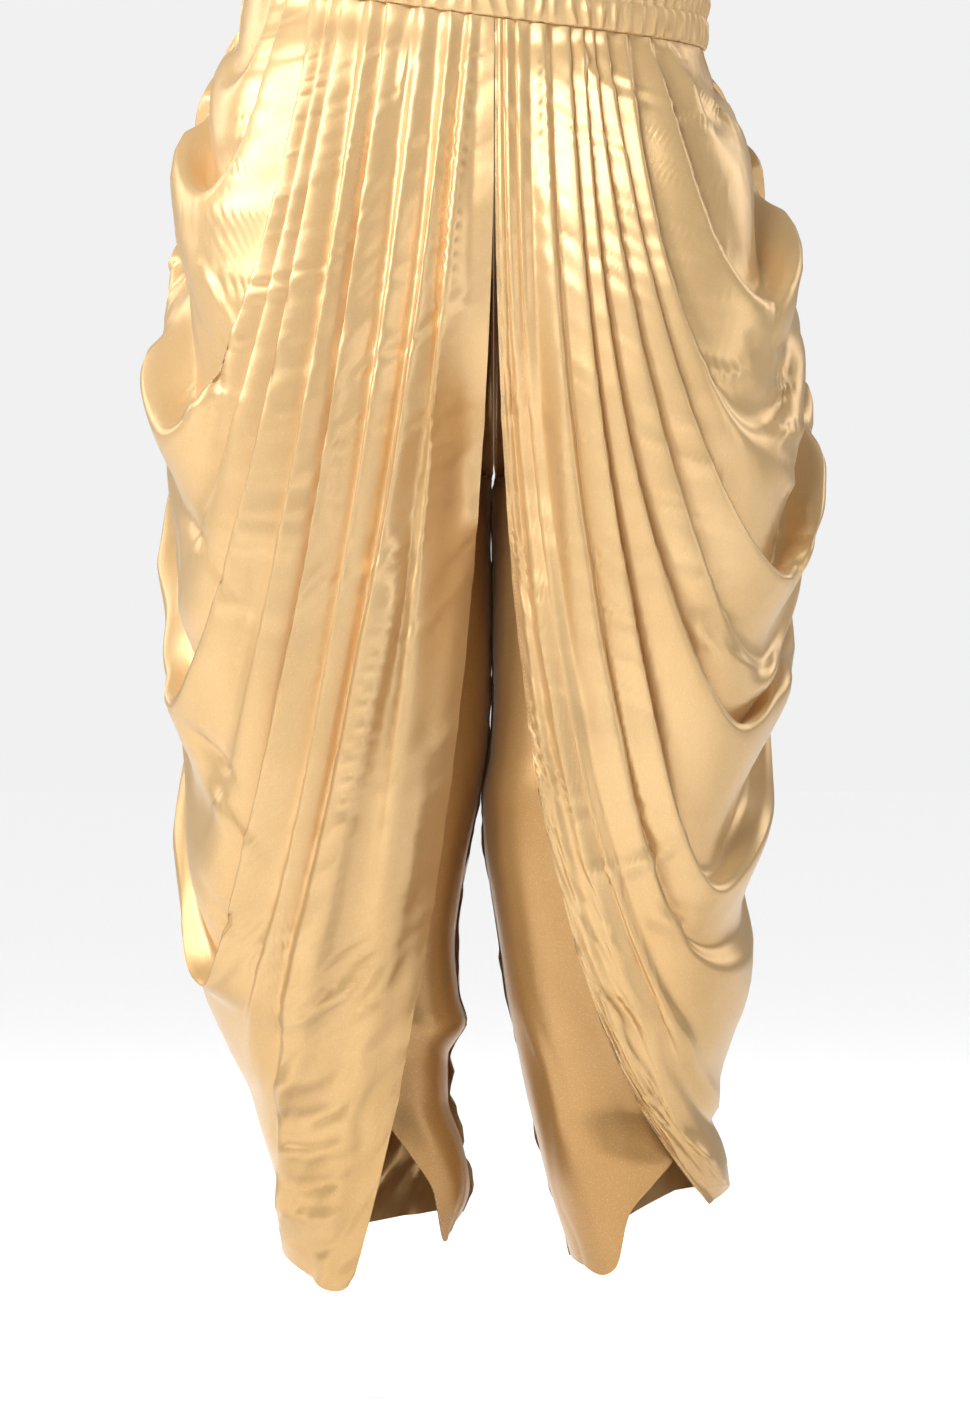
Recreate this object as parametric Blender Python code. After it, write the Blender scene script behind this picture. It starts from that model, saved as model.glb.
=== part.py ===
"""Dhoti pants: a ruched elastic waistband carrying two draped legs. Metres, +Z up, the wearer faces -Y.

Each leg is a pleated front panel and back panel whose cloth hangs in cowls round the outer side, and an
under panel inside the front panel's free edge. The drape is drafted on the front view: "across" runs to the
wearer's left and "down" runs down, in drafting units, and every draft position is lifted onto the plan section
of its leg at that height. Folds are then raised from that plain form.
"""

import bpy
import numpy as np

# Driving sizes, in metres unless a drafting unit is named
UNIT = 0.00078  # one drafting unit
ORIGIN_ACROSS = 473.0  # draft position of the waist opening's centre
ORIGIN_DOWN = -38.0
WALL = 0.0014
SEAM_GAP = 0.0003
WAIST_HALF_WIDTH = 232.0  # units
WAIST_HALF_DEPTH = 0.118
WAIST_TILT = 0.1315
BAND_HEIGHT = 0.048
BAND_WALL = 0.0030
BAND_GATHERS = 88
BAND_GATHER_DEPTH = 0.0022
MIDLINE = 494.0  # units, centre-front and centre-back seams
FORM_ROUNDNESS = 2.4
PLEAT_AT_WAIST = 0.0022
VALLEY_AT = 0.80
VALLEY_AT_WAIST = 0.60  # the pleats stand nearly even where they are sewn to the band
BAND_CLEARANCE = 7.0  # units that the folds hang below the band between its seam and the side
FOLD_ROOM = 0.30  # a fold's half depth as a share of its spacing, at most
SIDE_CLEARANCE = 0.0035  # how far from the outer side a panel starts to fold
FRONT_CLOSING = 0.80  # the front panels hang free, so they follow the form only this far towards the crotch
FRONT_ROWS = 16
BACK_ROWS = 12
ROW_CROWDING = 1.1  # rows stand closer towards the bottom of the cowls
UNDER_COLUMNS = 8
UNDER_ROWS = 16

SATIN_COLOUR = (0.80, 0.60, 0.36, 1.0)
SATIN_ROUGHNESS = 0.38

# Plan sections of the wearer's right leg. Down, outer side, middle and inner side in units, depths in mm
SECTION_COLUMNS = ("down", "outer", "middle", "inner", "front", "back")
RIGHT_SECTIONS = (
    (-40, 241, 473, 705, 118, 118),
    (-18, 241, 473, 705, 118, 118),
    (25, 236, 470, 705, 121, 121),
    (50, 226, 466, 702, 126, 127),
    (100, 208, 456, 692, 134, 138),
    (150, 192, 444, 675, 141, 149),
    (200, 182, 430, 655, 148, 158),
    (250, 178, 415, 628, 152, 165),
    (300, 172, 400, 600, 156, 170),
    (350, 166, 386, 570, 158, 172),
    (400, 162, 372, 540, 160, 172),
    (450, 164, 358, 505, 159, 169),
    (475, 168, 351, 489.4, 158, 167),
    (550, 172, 340, 489.4, 155, 161),
    (650, 171, 332, 489.4, 149, 152),
    (700, 176, 330, 489.4, 145, 148),
    (750, 184, 329, 485, 141, 144),
    (800, 186, 328, 477, 136, 140),
    (875, 186, 321, 465, 127, 133),
    (950, 187, 319, 456, 118, 124),
    (1000, 196, 322, 460, 112, 118),
    (1025, 208, 328, 467, 108, 114),
    (1060, 229, 338, 449, 102, 109),
    (1100, 247, 348, 449, 94, 102),
    (1150, 257, 358, 464, 87, 95),
    (1190, 267, 366, 471, 81, 89),
    (1250, 282, 368, 452, 77, 83),
    (1320, 300, 372, 450, 73, 80),
)
# Plan sections of the wearer's left leg
LEFT_SECTIONS = (
    (-40, 705, 473, 241, 118, 118),
    (43, 705, 473, 241, 118, 118),
    (60, 709, 482, 244, 125, 126),
    (100, 728, 500, 262, 134, 138),
    (150, 747, 520, 290, 141, 149),
    (200, 766, 540, 322, 148, 158),
    (250, 784, 560, 356, 152, 165),
    (300, 799, 580, 390, 156, 170),
    (350, 801, 596, 424, 158, 172),
    (400, 802, 610, 452, 160, 172),
    (450, 806, 622, 484, 159, 169),
    (475, 808, 628, 491, 158, 167),
    (550, 806, 637, 491.5, 155, 161),
    (600, 795, 640, 491.5, 152, 157),
    (650, 783, 641, 491.5, 149, 152),
    (700, 780, 640, 492, 145, 148),
    (750, 768, 636, 489, 141, 144),
    (800, 760, 632, 481, 136, 140),
    (850, 758, 630, 483, 130, 135),
    (900, 754, 630, 491, 124, 130),
    (950, 750, 631, 499, 118, 124),
    (1000, 748, 632, 506, 112, 118),
    (1050, 740, 632, 516, 104, 110),
    (1100, 725, 631, 526, 94, 102),
    (1125, 716, 633, 532, 91, 99),
    (1150, 727, 638, 538, 87, 95),
    (1190, 730, 641, 548, 81, 89),
    (1250, 724, 646, 567, 77, 83),
    (1320, 722, 655, 588, 73, 80),
)
# How far the plain form has closed towards the crotch at the midline: 0 open, 1 closed
CLOSING_COLUMNS = ("down", "closed")
CLOSING = ((-40, 0.09), (100, 0.15), (200, 0.27), (300, 0.45), (400, 0.73), (430, 0.84), (455, 0.94), (474, 1.0))

# Folds, one row each, from the band at the outer side to the free front edge. The line runs from the waist by
# two draft handles to its end, on the outer side where the end is SIDE and on the hem otherwise. Front and end
# are the fold's half depth in mm, lean is how far its lip leans to the outer side, and opens is the way that
# the pocket before the lip faces: 1 to the outer side, -1 to the centre.
SIDE = None
FOLD_COLUMNS = (
    "name", "waist", "near_across", "near_down", "far_across", "far_down", "end_across", "end_down",
    "front", "end", "lean", "opens",
)
RIGHT_FOLDS = (
    ("band", 262, 0, 0, SIDE, 0, SIDE, -18, 0.0, 0.0, 0.0, 1),
    ("hip tuck", 280, 265, 50, SIDE, 150, SIDE, 48, 4.0, 5.0, 0.6, 1),
    ("cowl 1", 291, 275, 100, SIDE, 330, SIDE, 120, 5.0, 20.0, 1.2, 1),
    ("cowl 2", 322, 285, 260, SIDE, 640, SIDE, 340, 6.0, 25.0, 1.2, 1),
    ("pleat e", 334, 305, 200, SIDE, 800, SIDE, 460, 4.5, 2.0, 0.8, 1),
    ("cowl 3", 347, 300, 330, SIDE, 1000, SIDE, 580, 6.5, 22.0, 1.2, 1),
    ("pleat g", 374, 325, 400, SIDE, 1160, SIDE, 715, 5.0, 2.0, 0.8, 1),
    ("cowl 4", 392, 345, 500, SIDE, 1340, SIDE, 850, 6.5, 18.0, 1.2, 1),
    ("pleat j", 425, 385, 430, 262, 1180, SIDE, 1060, 5.0, 3.0, 0.8, 1),
    ("ridge m", 452, 420, 450, 300, 1050, SIDE, 1252, 7.0, 3.0, 0.6, 1),
    ("pleat l", 473, 430, 450, 400, 850, 322, 1285, 7.0, 3.0, 0.8, 1),
    ("edge", 493.6, 500, 420, 455, 950, 345, 1307, 0.0, 0.0, 0.0, 1),
)
LEFT_FOLDS = (
    ("band", 684, 0, 0, SIDE, 0, SIDE, 43, 0.0, 0.0, 0.0, 1),
    ("hip tuck", 667, 690, 80, SIDE, 215, SIDE, 95, 4.0, 5.0, 0.6, 1),
    ("cowl 1", 645, 665, 130, SIDE, 510, SIDE, 200, 5.5, 20.0, 1.2, 1),
    ("ridge b", 622, 640, 330, 772, 620, SIDE, 330, 5.5, 6.0, 0.8, 1),
    ("cowl 2", 601, 625, 330, SIDE, 860, SIDE, 430, 6.0, 24.0, 1.2, 1),
    ("ridge a", 590, 605, 380, 780, 900, SIDE, 570, 5.0, 3.0, 0.8, 1),
    ("cowl 3", 579, 590, 520, 722, 900, SIDE, 655, 6.0, 18.0, 1.2, 1),
    ("cowl 4", 565, 575, 480, 690, 1150, SIDE, 800, 7.0, 16.0, 1.2, 1),
    ("pleat n", 542, 548, 480, 640, 1090, SIDE, 950, 4.0, 7.0, 0.6, 1),
    ("deep line", 519, 520, 500, 545, 900, SIDE, 1125, 6.0, 5.0, -0.9, 1),
    ("strip", 507, 508, 520, 540, 940, SIDE, 1188, 4.0, 2.0, -0.5, -1),
    ("hem turn", 500, 500, 540, 535, 950, 708, 1204, 2.0, 1.5, 0.0, 1),
    ("edge", 494.8, 490, 560, 530, 960, 673, 1158, 0.0, 0.0, 0.0, 1),
)
# The back's folds that end on the hem. Those above them carry on from the front round the outer side
RIGHT_BACK_FOLDS = (
    ("back pleat 1", 466, 440, 400, 360, 1000, 352, 1240, 7.0, 3.0, 0.8, 1),
    ("back pleat 2", 482, 466, 400, 410, 1000, 412, 1228, 6.0, 3.0, 0.8, 1),
)
LEFT_BACK_FOLDS = (
    ("back pleat 1", 503, 545, 400, 655, 950, 678, 1204, 7.0, 3.0, 0.8, 1),
    ("back pleat 2", 499, 520, 400, 590, 1000, 624, 1236, 6.0, 3.0, 0.8, 1),
)
BACK_RISE = 0.45
BACK_EVENNESS = 0.65  # how far the back's pleats are evened out along the waist

# The under panels' front edges, hidden beneath the front panels down to the tulip opening
UNDER_EDGE_COLUMNS = ("down", "across")
RIGHT_UNDER_EDGE = ((285, 450), (500, 420), (700, 398), (900, 374), (1050, 368), (1100, 379), (1113, 389),
                    (1155, 419), (1195, 440), (1235, 444), (1260, 446))
LEFT_UNDER_EDGE = ((285, 540), (500, 562), (700, 590), (900, 622), (1050, 660), (1120, 675), (1152, 676),
                   (1180, 655), (1215, 628), (1250, 620), (1286, 612))
UNDER_TOP = 285.0
UNDER_TUCK = 0.0200  # how far inside the front panel the under panel lies
RIGHT_LEG = {
    "side": -1, "sections": RIGHT_SECTIONS, "folds": RIGHT_FOLDS, "back_folds": RIGHT_BACK_FOLDS,
    "under_edge": RIGHT_UNDER_EDGE, "seam_hem": 1218.0, "edge_limit": 493.6,
}
LEFT_LEG = {
    "side": 1, "sections": LEFT_SECTIONS, "folds": LEFT_FOLDS, "back_folds": LEFT_BACK_FOLDS,
    "under_edge": LEFT_UNDER_EDGE, "seam_hem": 1262.0, "edge_limit": 494.8,
}
PATH_SAMPLES = np.linspace(0.0, 1.0, 161)
PHASES = {1: (0.0, 0.18, 0.52, VALLEY_AT, 0.90), -1: (0.0, 0.10, 1 - VALLEY_AT, 0.50, 0.84)}
SMALL_PHASES = {1: (0.0, 0.42, VALLEY_AT, 0.90), -1: (0.0, 0.10, 1 - VALLEY_AT, 0.60)}
SMALL_FOLD = 8.0  # mm, half depth at the end under which a fold is drafted with fewer columns


def curve_through(rows, at, column=1):
    """A smooth curve through a table's rows, without overshoot, read at any value of their first column."""
    xs = np.array([row[0] for row in rows], float)
    ys = np.array([row[column] for row in rows], float)
    step = np.diff(xs)
    slope = np.diff(ys) / step
    tangent = np.zeros_like(ys)
    same_way = slope[:-1] * slope[1:] > 0
    both = np.where(same_way, slope[:-1] + slope[1:], 1.0)
    tangent[1:-1] = np.where(same_way, 2 * slope[:-1] * slope[1:] / both, 0.0)
    tangent[0], tangent[-1] = slope[0], slope[-1]
    at = np.clip(at, xs[0], xs[-1])
    i = np.clip(np.searchsorted(xs, at) - 1, 0, len(step) - 1)
    u = (at - xs[i]) / step[i]
    ease = u * u * (3 - 2 * u)
    return (
        ys[i] * (1 - ease)
        + ys[i + 1] * ease
        + step[i] * (u * (1 - u) ** 2 * tangent[i] - u * u * (1 - u) * tangent[i + 1])
    )


def smoothstep(value):
    value = np.clip(value, 0.0, 1.0)
    return value * value * (3 - 2 * value)


def section(leg, name, down):
    return curve_through(leg["sections"], down, SECTION_COLUMNS.index(name))


def band_down(across, face):
    """The waistband's lower edge, tilted, and hanging lowest at the centre front."""
    offset = (across - ORIGIN_ACROSS) / WAIST_HALF_WIDTH
    centred = 1 - np.clip(offset * offset, 0, 1)
    return 12.0 + WAIST_TILT * (across - ORIGIN_ACROSS) + np.where(face < 0, 10.0, -6.0) * centred


def inner_line(leg, down):
    """The centre seam above the crotch, and the inner leg seam below it."""
    inner = section(leg, "inner", down)
    closed = curve_through(CLOSING, down)
    limit = MIDLINE + leg["side"] * (0.4 + 1.8 * smoothstep((closed - 0.4) / 0.5))
    return np.minimum(inner, limit) if leg["side"] < 0 else np.maximum(inner, limit)


def lift(leg, across, down, face, free=False):
    """Points and outward normals of a leg's plain form at draft positions, on its front (-1) or back (1)."""
    middle = section(leg, "middle", down)
    outer = section(leg, "outer", down)
    inner = section(leg, "inner", down)
    offset = across - middle
    half = np.where(offset * leg["side"] > 0, np.abs(outer - middle), np.abs(inner - middle))
    reach = np.clip(np.abs(offset) / half, 0.0, 1.0)
    depth = section(leg, "front" if face < 0 else "back", down) / 1000
    rise = (1 - reach**FORM_ROUNDNESS) ** (1 / FORM_ROUNDNESS)
    closed = np.clip(curve_through(CLOSING, down), 0, FRONT_CLOSING if free else 1)
    centre_rise = (1 - closed**FORM_ROUNDNESS) ** (1 / FORM_ROUNDNESS)
    above_crotch = smoothstep((640 - down) / 160) if free else smoothstep((480 - down) / 10)
    near_centre = smoothstep(1 - np.abs(across - MIDLINE) / 70) * above_crotch
    shown_rise = rise + (centre_rise - rise) * near_centre
    ring = np.clip(np.abs(across - ORIGIN_ACROSS) / WAIST_HALF_WIDTH, 0, 1)
    ring_y = WAIST_HALF_DEPTH * np.sqrt(1 - ring**2)
    near_band = np.exp(-(((down - band_down(across, face)) / 28) ** 2))
    y = shown_rise * depth
    y = face * (y + (ring_y - y) * near_band)
    x = (middle + np.sign(offset) * half * reach - ORIGIN_ACROSS) * UNIT
    z = -(down - ORIGIN_DOWN) * UNIT
    normal = np.stack(
        [
            np.sign(offset) * reach ** (FORM_ROUNDNESS - 1) / (half * UNIT),
            face * np.maximum(rise, 1e-4) ** (FORM_ROUNDNESS - 1) / depth,
            np.zeros_like(x),
        ],
        axis=-1,
    )
    normal /= np.linalg.norm(normal, axis=-1, keepdims=True)
    normal[..., 1] += 2 * face * near_centre
    normal /= np.linalg.norm(normal, axis=-1, keepdims=True)
    return np.stack([x, y, z], axis=-1), normal


def bezier(points):
    q = PATH_SAMPLES[:, None]
    a, b, c, d = (np.array(point, float) for point in points)
    return (1 - q) ** 3 * a + 3 * q * (1 - q) ** 2 * b + 3 * q * q * (1 - q) * c + q**3 * d


def band_path(leg, row, face):
    """Along the band's lower edge from the first pleat to the outer side."""
    end = ORIGIN_ACROSS + leg["side"] * WAIST_HALF_WIDTH
    across = row["waist"] + (end - row["waist"]) * np.sin(PATH_SAMPLES * np.pi / 2)
    return np.stack([across, band_down(across, face) + 0.5], axis=-1)


def fold_line(leg, row, face):
    """A fold's draft line, from the waist to the outer side or the hem."""
    if row["name"] == "band":
        return band_path(leg, row, face)
    if row["name"] == "seam":
        down = band_down(MIDLINE, face) + (leg["seam_hem"] - band_down(MIDLINE, face)) * PATH_SAMPLES
        return np.stack([inner_line(leg, down), down], axis=-1)
    outer = float(section(leg, "outer", row["end_down"]))
    start = (row["waist"], float(band_down(row["waist"], face)))
    near = (row["near_across"], row["near_down"])
    far = (outer if row["far_across"] is SIDE else row["far_across"], row["far_down"])
    end = (outer if row["end_across"] is SIDE else row["end_across"], row["end_down"])
    if face > 0 and row["end_across"] is SIDE:
        # Behind the side the cowls climb, so each carries on upwards from its crossing
        near_band = float(band_down(row["near_across"], face))
        near = (row["near_across"], near_band + (row["near_down"] - near_band) * 0.40)
        rise = BACK_RISE * max(row["far_down"] - row["end_down"], -60.0)
        side_band = float(band_down(ORIGIN_ACROSS + leg["side"] * WAIST_HALF_WIDTH, face))
        far = (outer, max(row["end_down"] - rise, (row["end_down"] + side_band) / 2))
    line = bezier((start, near, far, end))
    if row["name"] == "edge":
        limit = np.where(line[:, 1] < 330, leg["edge_limit"], line[:, 0])
        line[:, 0] = np.minimum(line[:, 0], limit) if leg["side"] < 0 else np.maximum(line[:, 0], limit)
    return line


def named(row, columns):
    return dict(zip(columns, row))


def front_rows(leg):
    return [named(row, FOLD_COLUMNS) for row in leg["folds"]]


def back_rows(leg):
    carried = [row for row in front_rows(leg) if row["end_across"] is SIDE]
    own = [named(row, FOLD_COLUMNS) for row in leg["back_folds"]]
    seam = dict(own[-1], name="seam", waist=MIDLINE, front=0.0, end=0.0, lean=0.0)
    rows = carried + own + [seam]
    even = np.linspace(rows[0]["waist"], MIDLINE, len(rows))
    for row, waist in zip(rows[:-1], even):
        row["waist"] += (waist - row["waist"]) * BACK_EVENNESS
    return rows


def fold_profile(phase, first, second):
    """Height and lean of the cloth between two lips: 1 at a lip, -1 at the bottom of the pocket between them."""
    opens = second["opens"]
    valley = VALLEY_AT if opens > 0 else 1 - VALLEY_AT
    # The pocket's bottom slips as far as the lip that hangs over it
    slip = max(second["lean"], 0.1) if opens > 0 else min(first["lean"], -0.1)
    if phase <= valley:
        height = np.cos(np.pi * phase / valley)
        lean = first["lean"] + (slip - first["lean"]) * smoothstep(phase / valley)
    else:
        part = (phase - valley) / (1 - valley)
        height = -np.cos(np.pi * part)
        lean = slip + (second["lean"] - slip) * smoothstep(part)
    return height, lean


def placed(phase, opens):
    """Where a column stands between two fold lines, along their length: the valleys move as the pleats open."""
    valley = VALLEY_AT_WAIST + (VALLEY_AT - VALLEY_AT_WAIST) * smoothstep(PATH_SAMPLES / 0.35)
    share = phase if opens > 0 else 1 - phase
    if share <= VALLEY_AT:
        place = share / VALLEY_AT * valley
    else:
        place = valley + (share - VALLEY_AT) / (1 - VALLEY_AT) * (1 - valley)
    return place if opens > 0 else 1 - place


def half_depth(row, t):
    """A fold's half depth along its line, shallow where it is sewn to the band."""
    front = row["front"] / 1000
    end = row["end"] / 1000
    at_waist = min(PLEAT_AT_WAIST, front)
    depth = at_waist + (front - at_waist) * smoothstep(t / 0.22)
    return depth + (end - front) * smoothstep((t - 0.42) / 0.50)


def resampled(points, values, t):
    """Values along a line of points, read at fractions t of its length."""
    steps = np.linalg.norm(np.diff(points, axis=0), axis=1)
    length = np.concatenate([[0.0], np.cumsum(steps)])
    length /= length[-1]
    return np.stack([np.interp(t, length, values[:, k]) for k in range(3)], axis=-1)


def spacings(leg, lines, face, t):
    """The distance between each fold line and the next, at fractions t of their length."""
    lifted = []
    for line in lines:
        points, _ = lift(leg, line[:, 0], line[:, 1], face, face < 0)
        lifted.append(resampled(points, points, t))
    lifted = np.array(lifted)
    along = np.gradient(lifted, axis=1)
    along /= np.linalg.norm(along, axis=-1, keepdims=True)
    gap = lifted[1:] - lifted[:-1]
    gap -= along[:-1] * np.sum(gap * along[:-1], axis=-1, keepdims=True)
    gaps = np.linalg.norm(gap, axis=-1)
    return np.concatenate([gaps[:1], gaps, gaps[-1:]])


def fitted(depth, room):
    """A half depth eased down to what the spacing of the folds leaves room for."""
    most = FOLD_ROOM * np.maximum(room - 3.5 * WALL, 0.0008)
    return depth / (1 + (depth / most) ** 3) ** (1 / 3)


def cloth_column(leg, rows, lines, room, i, phase, face, t):
    """Points of the cloth down one line between folds i and i + 1, and the way that its wall is thick there."""
    first, second = rows[i], rows[min(i + 1, len(rows) - 1)]
    line = lines[i] + (lines[min(i + 1, len(rows) - 1)] - lines[i]) * placed(phase, second["opens"])[:, None]
    if first["end_across"] is SIDE and first["name"] != "band":
        # The line follows the outer side's curve as it nears it
        share = 1.0 if second["end_across"] is SIDE else 1.0 - phase
        outer = section(leg, "outer", line[:, 1])
        line = line + np.stack([(outer - line[-1, 0]) * PATH_SAMPLES**3 * share, 0 * PATH_SAMPLES], axis=-1)
    if first["name"] != "band" or phase > 0:
        below = band_down(line[:, 0], face) + 0.5 + BAND_CLEARANCE * np.sin(np.pi * PATH_SAMPLES) ** 0.7
        line = np.stack([line[:, 0], np.maximum(line[:, 1], below)], axis=-1)
    points, normals = lift(leg, line[:, 0], line[:, 1], face, face < 0)
    along = np.gradient(points, axis=0)
    along /= np.maximum(np.linalg.norm(along, axis=1, keepdims=True), 1e-12)
    points, normals, along = (resampled(points, values, t) for values in (points, normals, along))
    if second["end_across"] is SIDE:
        # Front and back agree on the folds' direction where they meet at the outer side
        crossing = np.array([0.0, 1.0, 0.0]) * (1 if face < 0 else -1)
        near_side = smoothstep((t - 0.72) / 0.28)[:, None]
        along = along * (1 - near_side) + crossing * near_side
        along /= np.linalg.norm(along, axis=1, keepdims=True)
    normals -= along * np.sum(normals * along, axis=1, keepdims=True)
    normals /= np.linalg.norm(normals, axis=1, keepdims=True)
    # The way across the folds, towards the centre seam
    across = -leg["side"] * np.cross(normals, along) * (1 if face < 0 else -1)
    across /= np.linalg.norm(across, axis=1, keepdims=True)
    height, lean = fold_profile(phase, first, second)
    mix = smoothstep(phase / VALLEY_AT)
    own = np.minimum(room[i + 1], room[i]) * (1 - smoothstep(phase * 2)) + room[i + 1] * smoothstep(phase * 2)
    after = np.minimum(room[i + 1], room[min(i + 2, len(room) - 1)])
    near_next = smoothstep((phase - VALLEY_AT) / (1 - VALLEY_AT))
    own = own * (1 - near_next) + after * near_next
    depth = half_depth(first, t) * (1 - mix) + half_depth(second, t) * mix
    if first["name"] == "band":
        depth = half_depth(second, t) * smoothstep(phase)
    raised = normals - across * lean
    points = points + raised * (height * fitted(depth, own))[:, None]
    if first["name"] != "band" or phase > 0:
        # The top edge meets the band's lower edge
        top_across = points[0, 0] / UNIT + ORIGIN_ACROSS
        top = -(band_down(top_across, face) - ORIGIN_DOWN) * UNIT - SEAM_GAP - 0.0002
        points[:, 2] += (top - points[0, 2]) * (1 - smoothstep(t / 0.06))
    # No fold climbs over the band
    across_now = points[:, 0] / UNIT + ORIGIN_ACROSS
    ceiling = -(band_down(across_now, face) - ORIGIN_DOWN) * UNIT - SEAM_GAP - 0.0002
    points[:, 2] = np.minimum(points[:, 2], ceiling - 0.0015 * smoothstep(t / 0.1) * np.sqrt(phase + i))
    # Nor does it cross the outer side's plane
    room_left = np.minimum((len(t) - 1 - np.arange(len(t))) * SIDE_CLEARANCE, 2 * SIDE_CLEARANCE)
    room_left[-1] = SEAM_GAP / 2
    near_outer = smoothstep((t - 0.5) / 0.2) if second["end_across"] is SIDE else np.zeros_like(t)
    points[:, 1] = face * np.maximum(points[:, 1] * face, room_left * near_outer)
    return points, raised


def panel_columns(rows):
    columns = []
    for i in range(len(rows) - 1):
        small = max(rows[i]["end"], rows[i + 1]["end"]) < SMALL_FOLD
        phases = SMALL_PHASES if small else PHASES
        columns += [(i, phase) for phase in phases[rows[i + 1]["opens"]]]
    return columns + [(len(rows) - 2, 1.0)]


def panel_grid(leg, rows, face, t):
    lines = [fold_line(leg, row, face) for row in rows]
    room = spacings(leg, lines, face, t)
    columns = panel_columns(rows)
    made = [cloth_column(leg, rows, lines, room, i, phase, face, t) for i, phase in columns]
    return np.stack([points for points, _ in made]), np.stack([raised for _, raised in made])


def under_grid(leg):
    """The under panel, from the centre or inner leg seam forward to its edge, row by row down the leg."""
    across_share = np.linspace(0, 1, UNDER_COLUMNS) ** 1.2
    down_share = np.linspace(0, 1, UNDER_ROWS)
    edge_hem = leg["under_edge"][-1][0]
    edge = front_rows(leg)[-1]
    free = fold_line(leg, edge, -1)
    columns, outward = [], []
    for share in across_share:
        hem = leg["seam_hem"] + (edge_hem - leg["seam_hem"]) * share
        down = UNDER_TOP + (hem - UNDER_TOP) * down_share
        seam = inner_line(leg, down)
        front = curve_through(leg["under_edge"], down)
        across = seam + (front - seam) * share
        points, normals = lift(leg, across, down, -1)
        edge_across = np.interp(down, free[:, 1], free[:, 0])
        width = np.maximum((edge_across - seam) * leg["side"] - 3, 1.0)
        beneath = smoothstep((across - seam) * leg["side"] / width)
        beneath = beneath * (1 - smoothstep((down - free[-1, 1] + 50) / 60))
        at_seam = 0.012 + (0.0014 - 0.012) * smoothstep((down - 320) / 110)
        tuck = at_seam + (UNDER_TUCK - at_seam) * beneath
        points = points - normals * tuck[:, None]
        if share == 0:
            points[:, 1] -= SEAM_GAP / 2
        columns.append(points)
        outward.append(normals)
    return np.stack(columns), np.stack(outward)


def wall_mesh(name, grid, outward):
    """A closed wall on a grid of cloth points: an outer face, an inner face and their rims.

    The wall is thick along the way that its folds are raised, so its two faces can't pass through each other.
    """
    columns, rows = grid.shape[:2]
    offset = outward * (WALL / 2)
    points = np.concatenate([(grid + offset).reshape(-1, 3), (grid - offset).reshape(-1, 3)])
    under = columns * rows
    faces = []

    def at(c, r):
        return c * rows + r

    for c in range(columns - 1):
        for r in range(rows - 1):
            a, b, d, e = at(c, r), at(c + 1, r), at(c + 1, r + 1), at(c, r + 1)
            rising = np.linalg.norm(grid[c, r] - grid[c + 1, r + 1])
            falling = np.linalg.norm(grid[c + 1, r] - grid[c, r + 1])
            # Both faces are split along the same, shorter diagonal, so a twisted patch keeps its thickness
            halves = ((a, b, d), (a, d, e)) if rising < falling else ((a, b, e), (b, d, e))
            for half in halves:
                faces.append(half)
                faces.append(tuple(under + k for k in reversed(half)))
    rim = [at(c, 0) for c in range(columns)]
    rim += [at(columns - 1, r) for r in range(1, rows)]
    rim += [at(c, rows - 1) for c in range(columns - 2, -1, -1)]
    rim += [at(0, r) for r in range(rows - 2, 0, -1)]
    for a, b in zip(rim, rim[1:] + rim[:1]):
        faces.append((b, a, under + a, under + b))
    return make_object(name, points, faces)


def band_mesh():
    """The elastic casing: a tilted ring with two stitched channels, ruched all round."""
    columns = BAND_GATHERS * 2
    turn = np.arange(columns) / columns * 2 * np.pi
    face = np.where(np.cos(turn) > 0, -1, 1)
    across = ORIGIN_ACROSS + WAIST_HALF_WIDTH * np.sin(turn)
    sag = np.cos(turn) * np.abs(np.cos(turn))
    down = 12.0 + WAIST_TILT * (across - ORIGIN_ACROSS) + np.where(sag > 0, 10.0, 6.0) * sag
    bottom = -(down - ORIGIN_DOWN) * UNIT
    ring = np.stack([np.sin(turn), -np.cos(turn), np.zeros(columns)], axis=-1)
    size = np.array([WAIST_HALF_WIDTH * UNIT, WAIST_HALF_DEPTH, 1.0])
    # Share of the band's height, how full the channel is there, and the wave's slip along the band
    levels = ((0.0, 0.35, 0.0), (0.25, 1.0, 0.2), (0.5, 0.30, 0.0), (0.75, 1.0, -0.2))
    loops = []
    for share, full, slip in levels:
        wave = 0.5 + 0.5 * np.cos(BAND_GATHERS * turn + slip * np.pi)
        out = BAND_WALL / 2 + full * (0.0014 + BAND_GATHER_DEPTH * wave)
        loop = ring * (size + out[:, None] * np.array([1, 1, 0]))
        loop[:, 2] = bottom + share * BAND_HEIGHT
        loops.append(loop)
    inside = ring * (size - np.array([BAND_WALL / 2, BAND_WALL / 2, 0]))
    top = ring * size
    top[:, 2] = bottom + BAND_HEIGHT
    loops.append(top)
    for share in (0.96, 0.0):
        loop = inside.copy()
        loop[:, 2] = bottom + share * BAND_HEIGHT
        loops.append(loop)
    points = np.concatenate(loops)
    faces = []
    for k in range(len(loops)):
        below, above = k * columns, ((k + 1) % len(loops)) * columns
        for c in range(columns):
            d = (c + 1) % columns
            faces.append((below + c, below + d, above + d, above + c))
    return make_object("waistband", points, faces)


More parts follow.
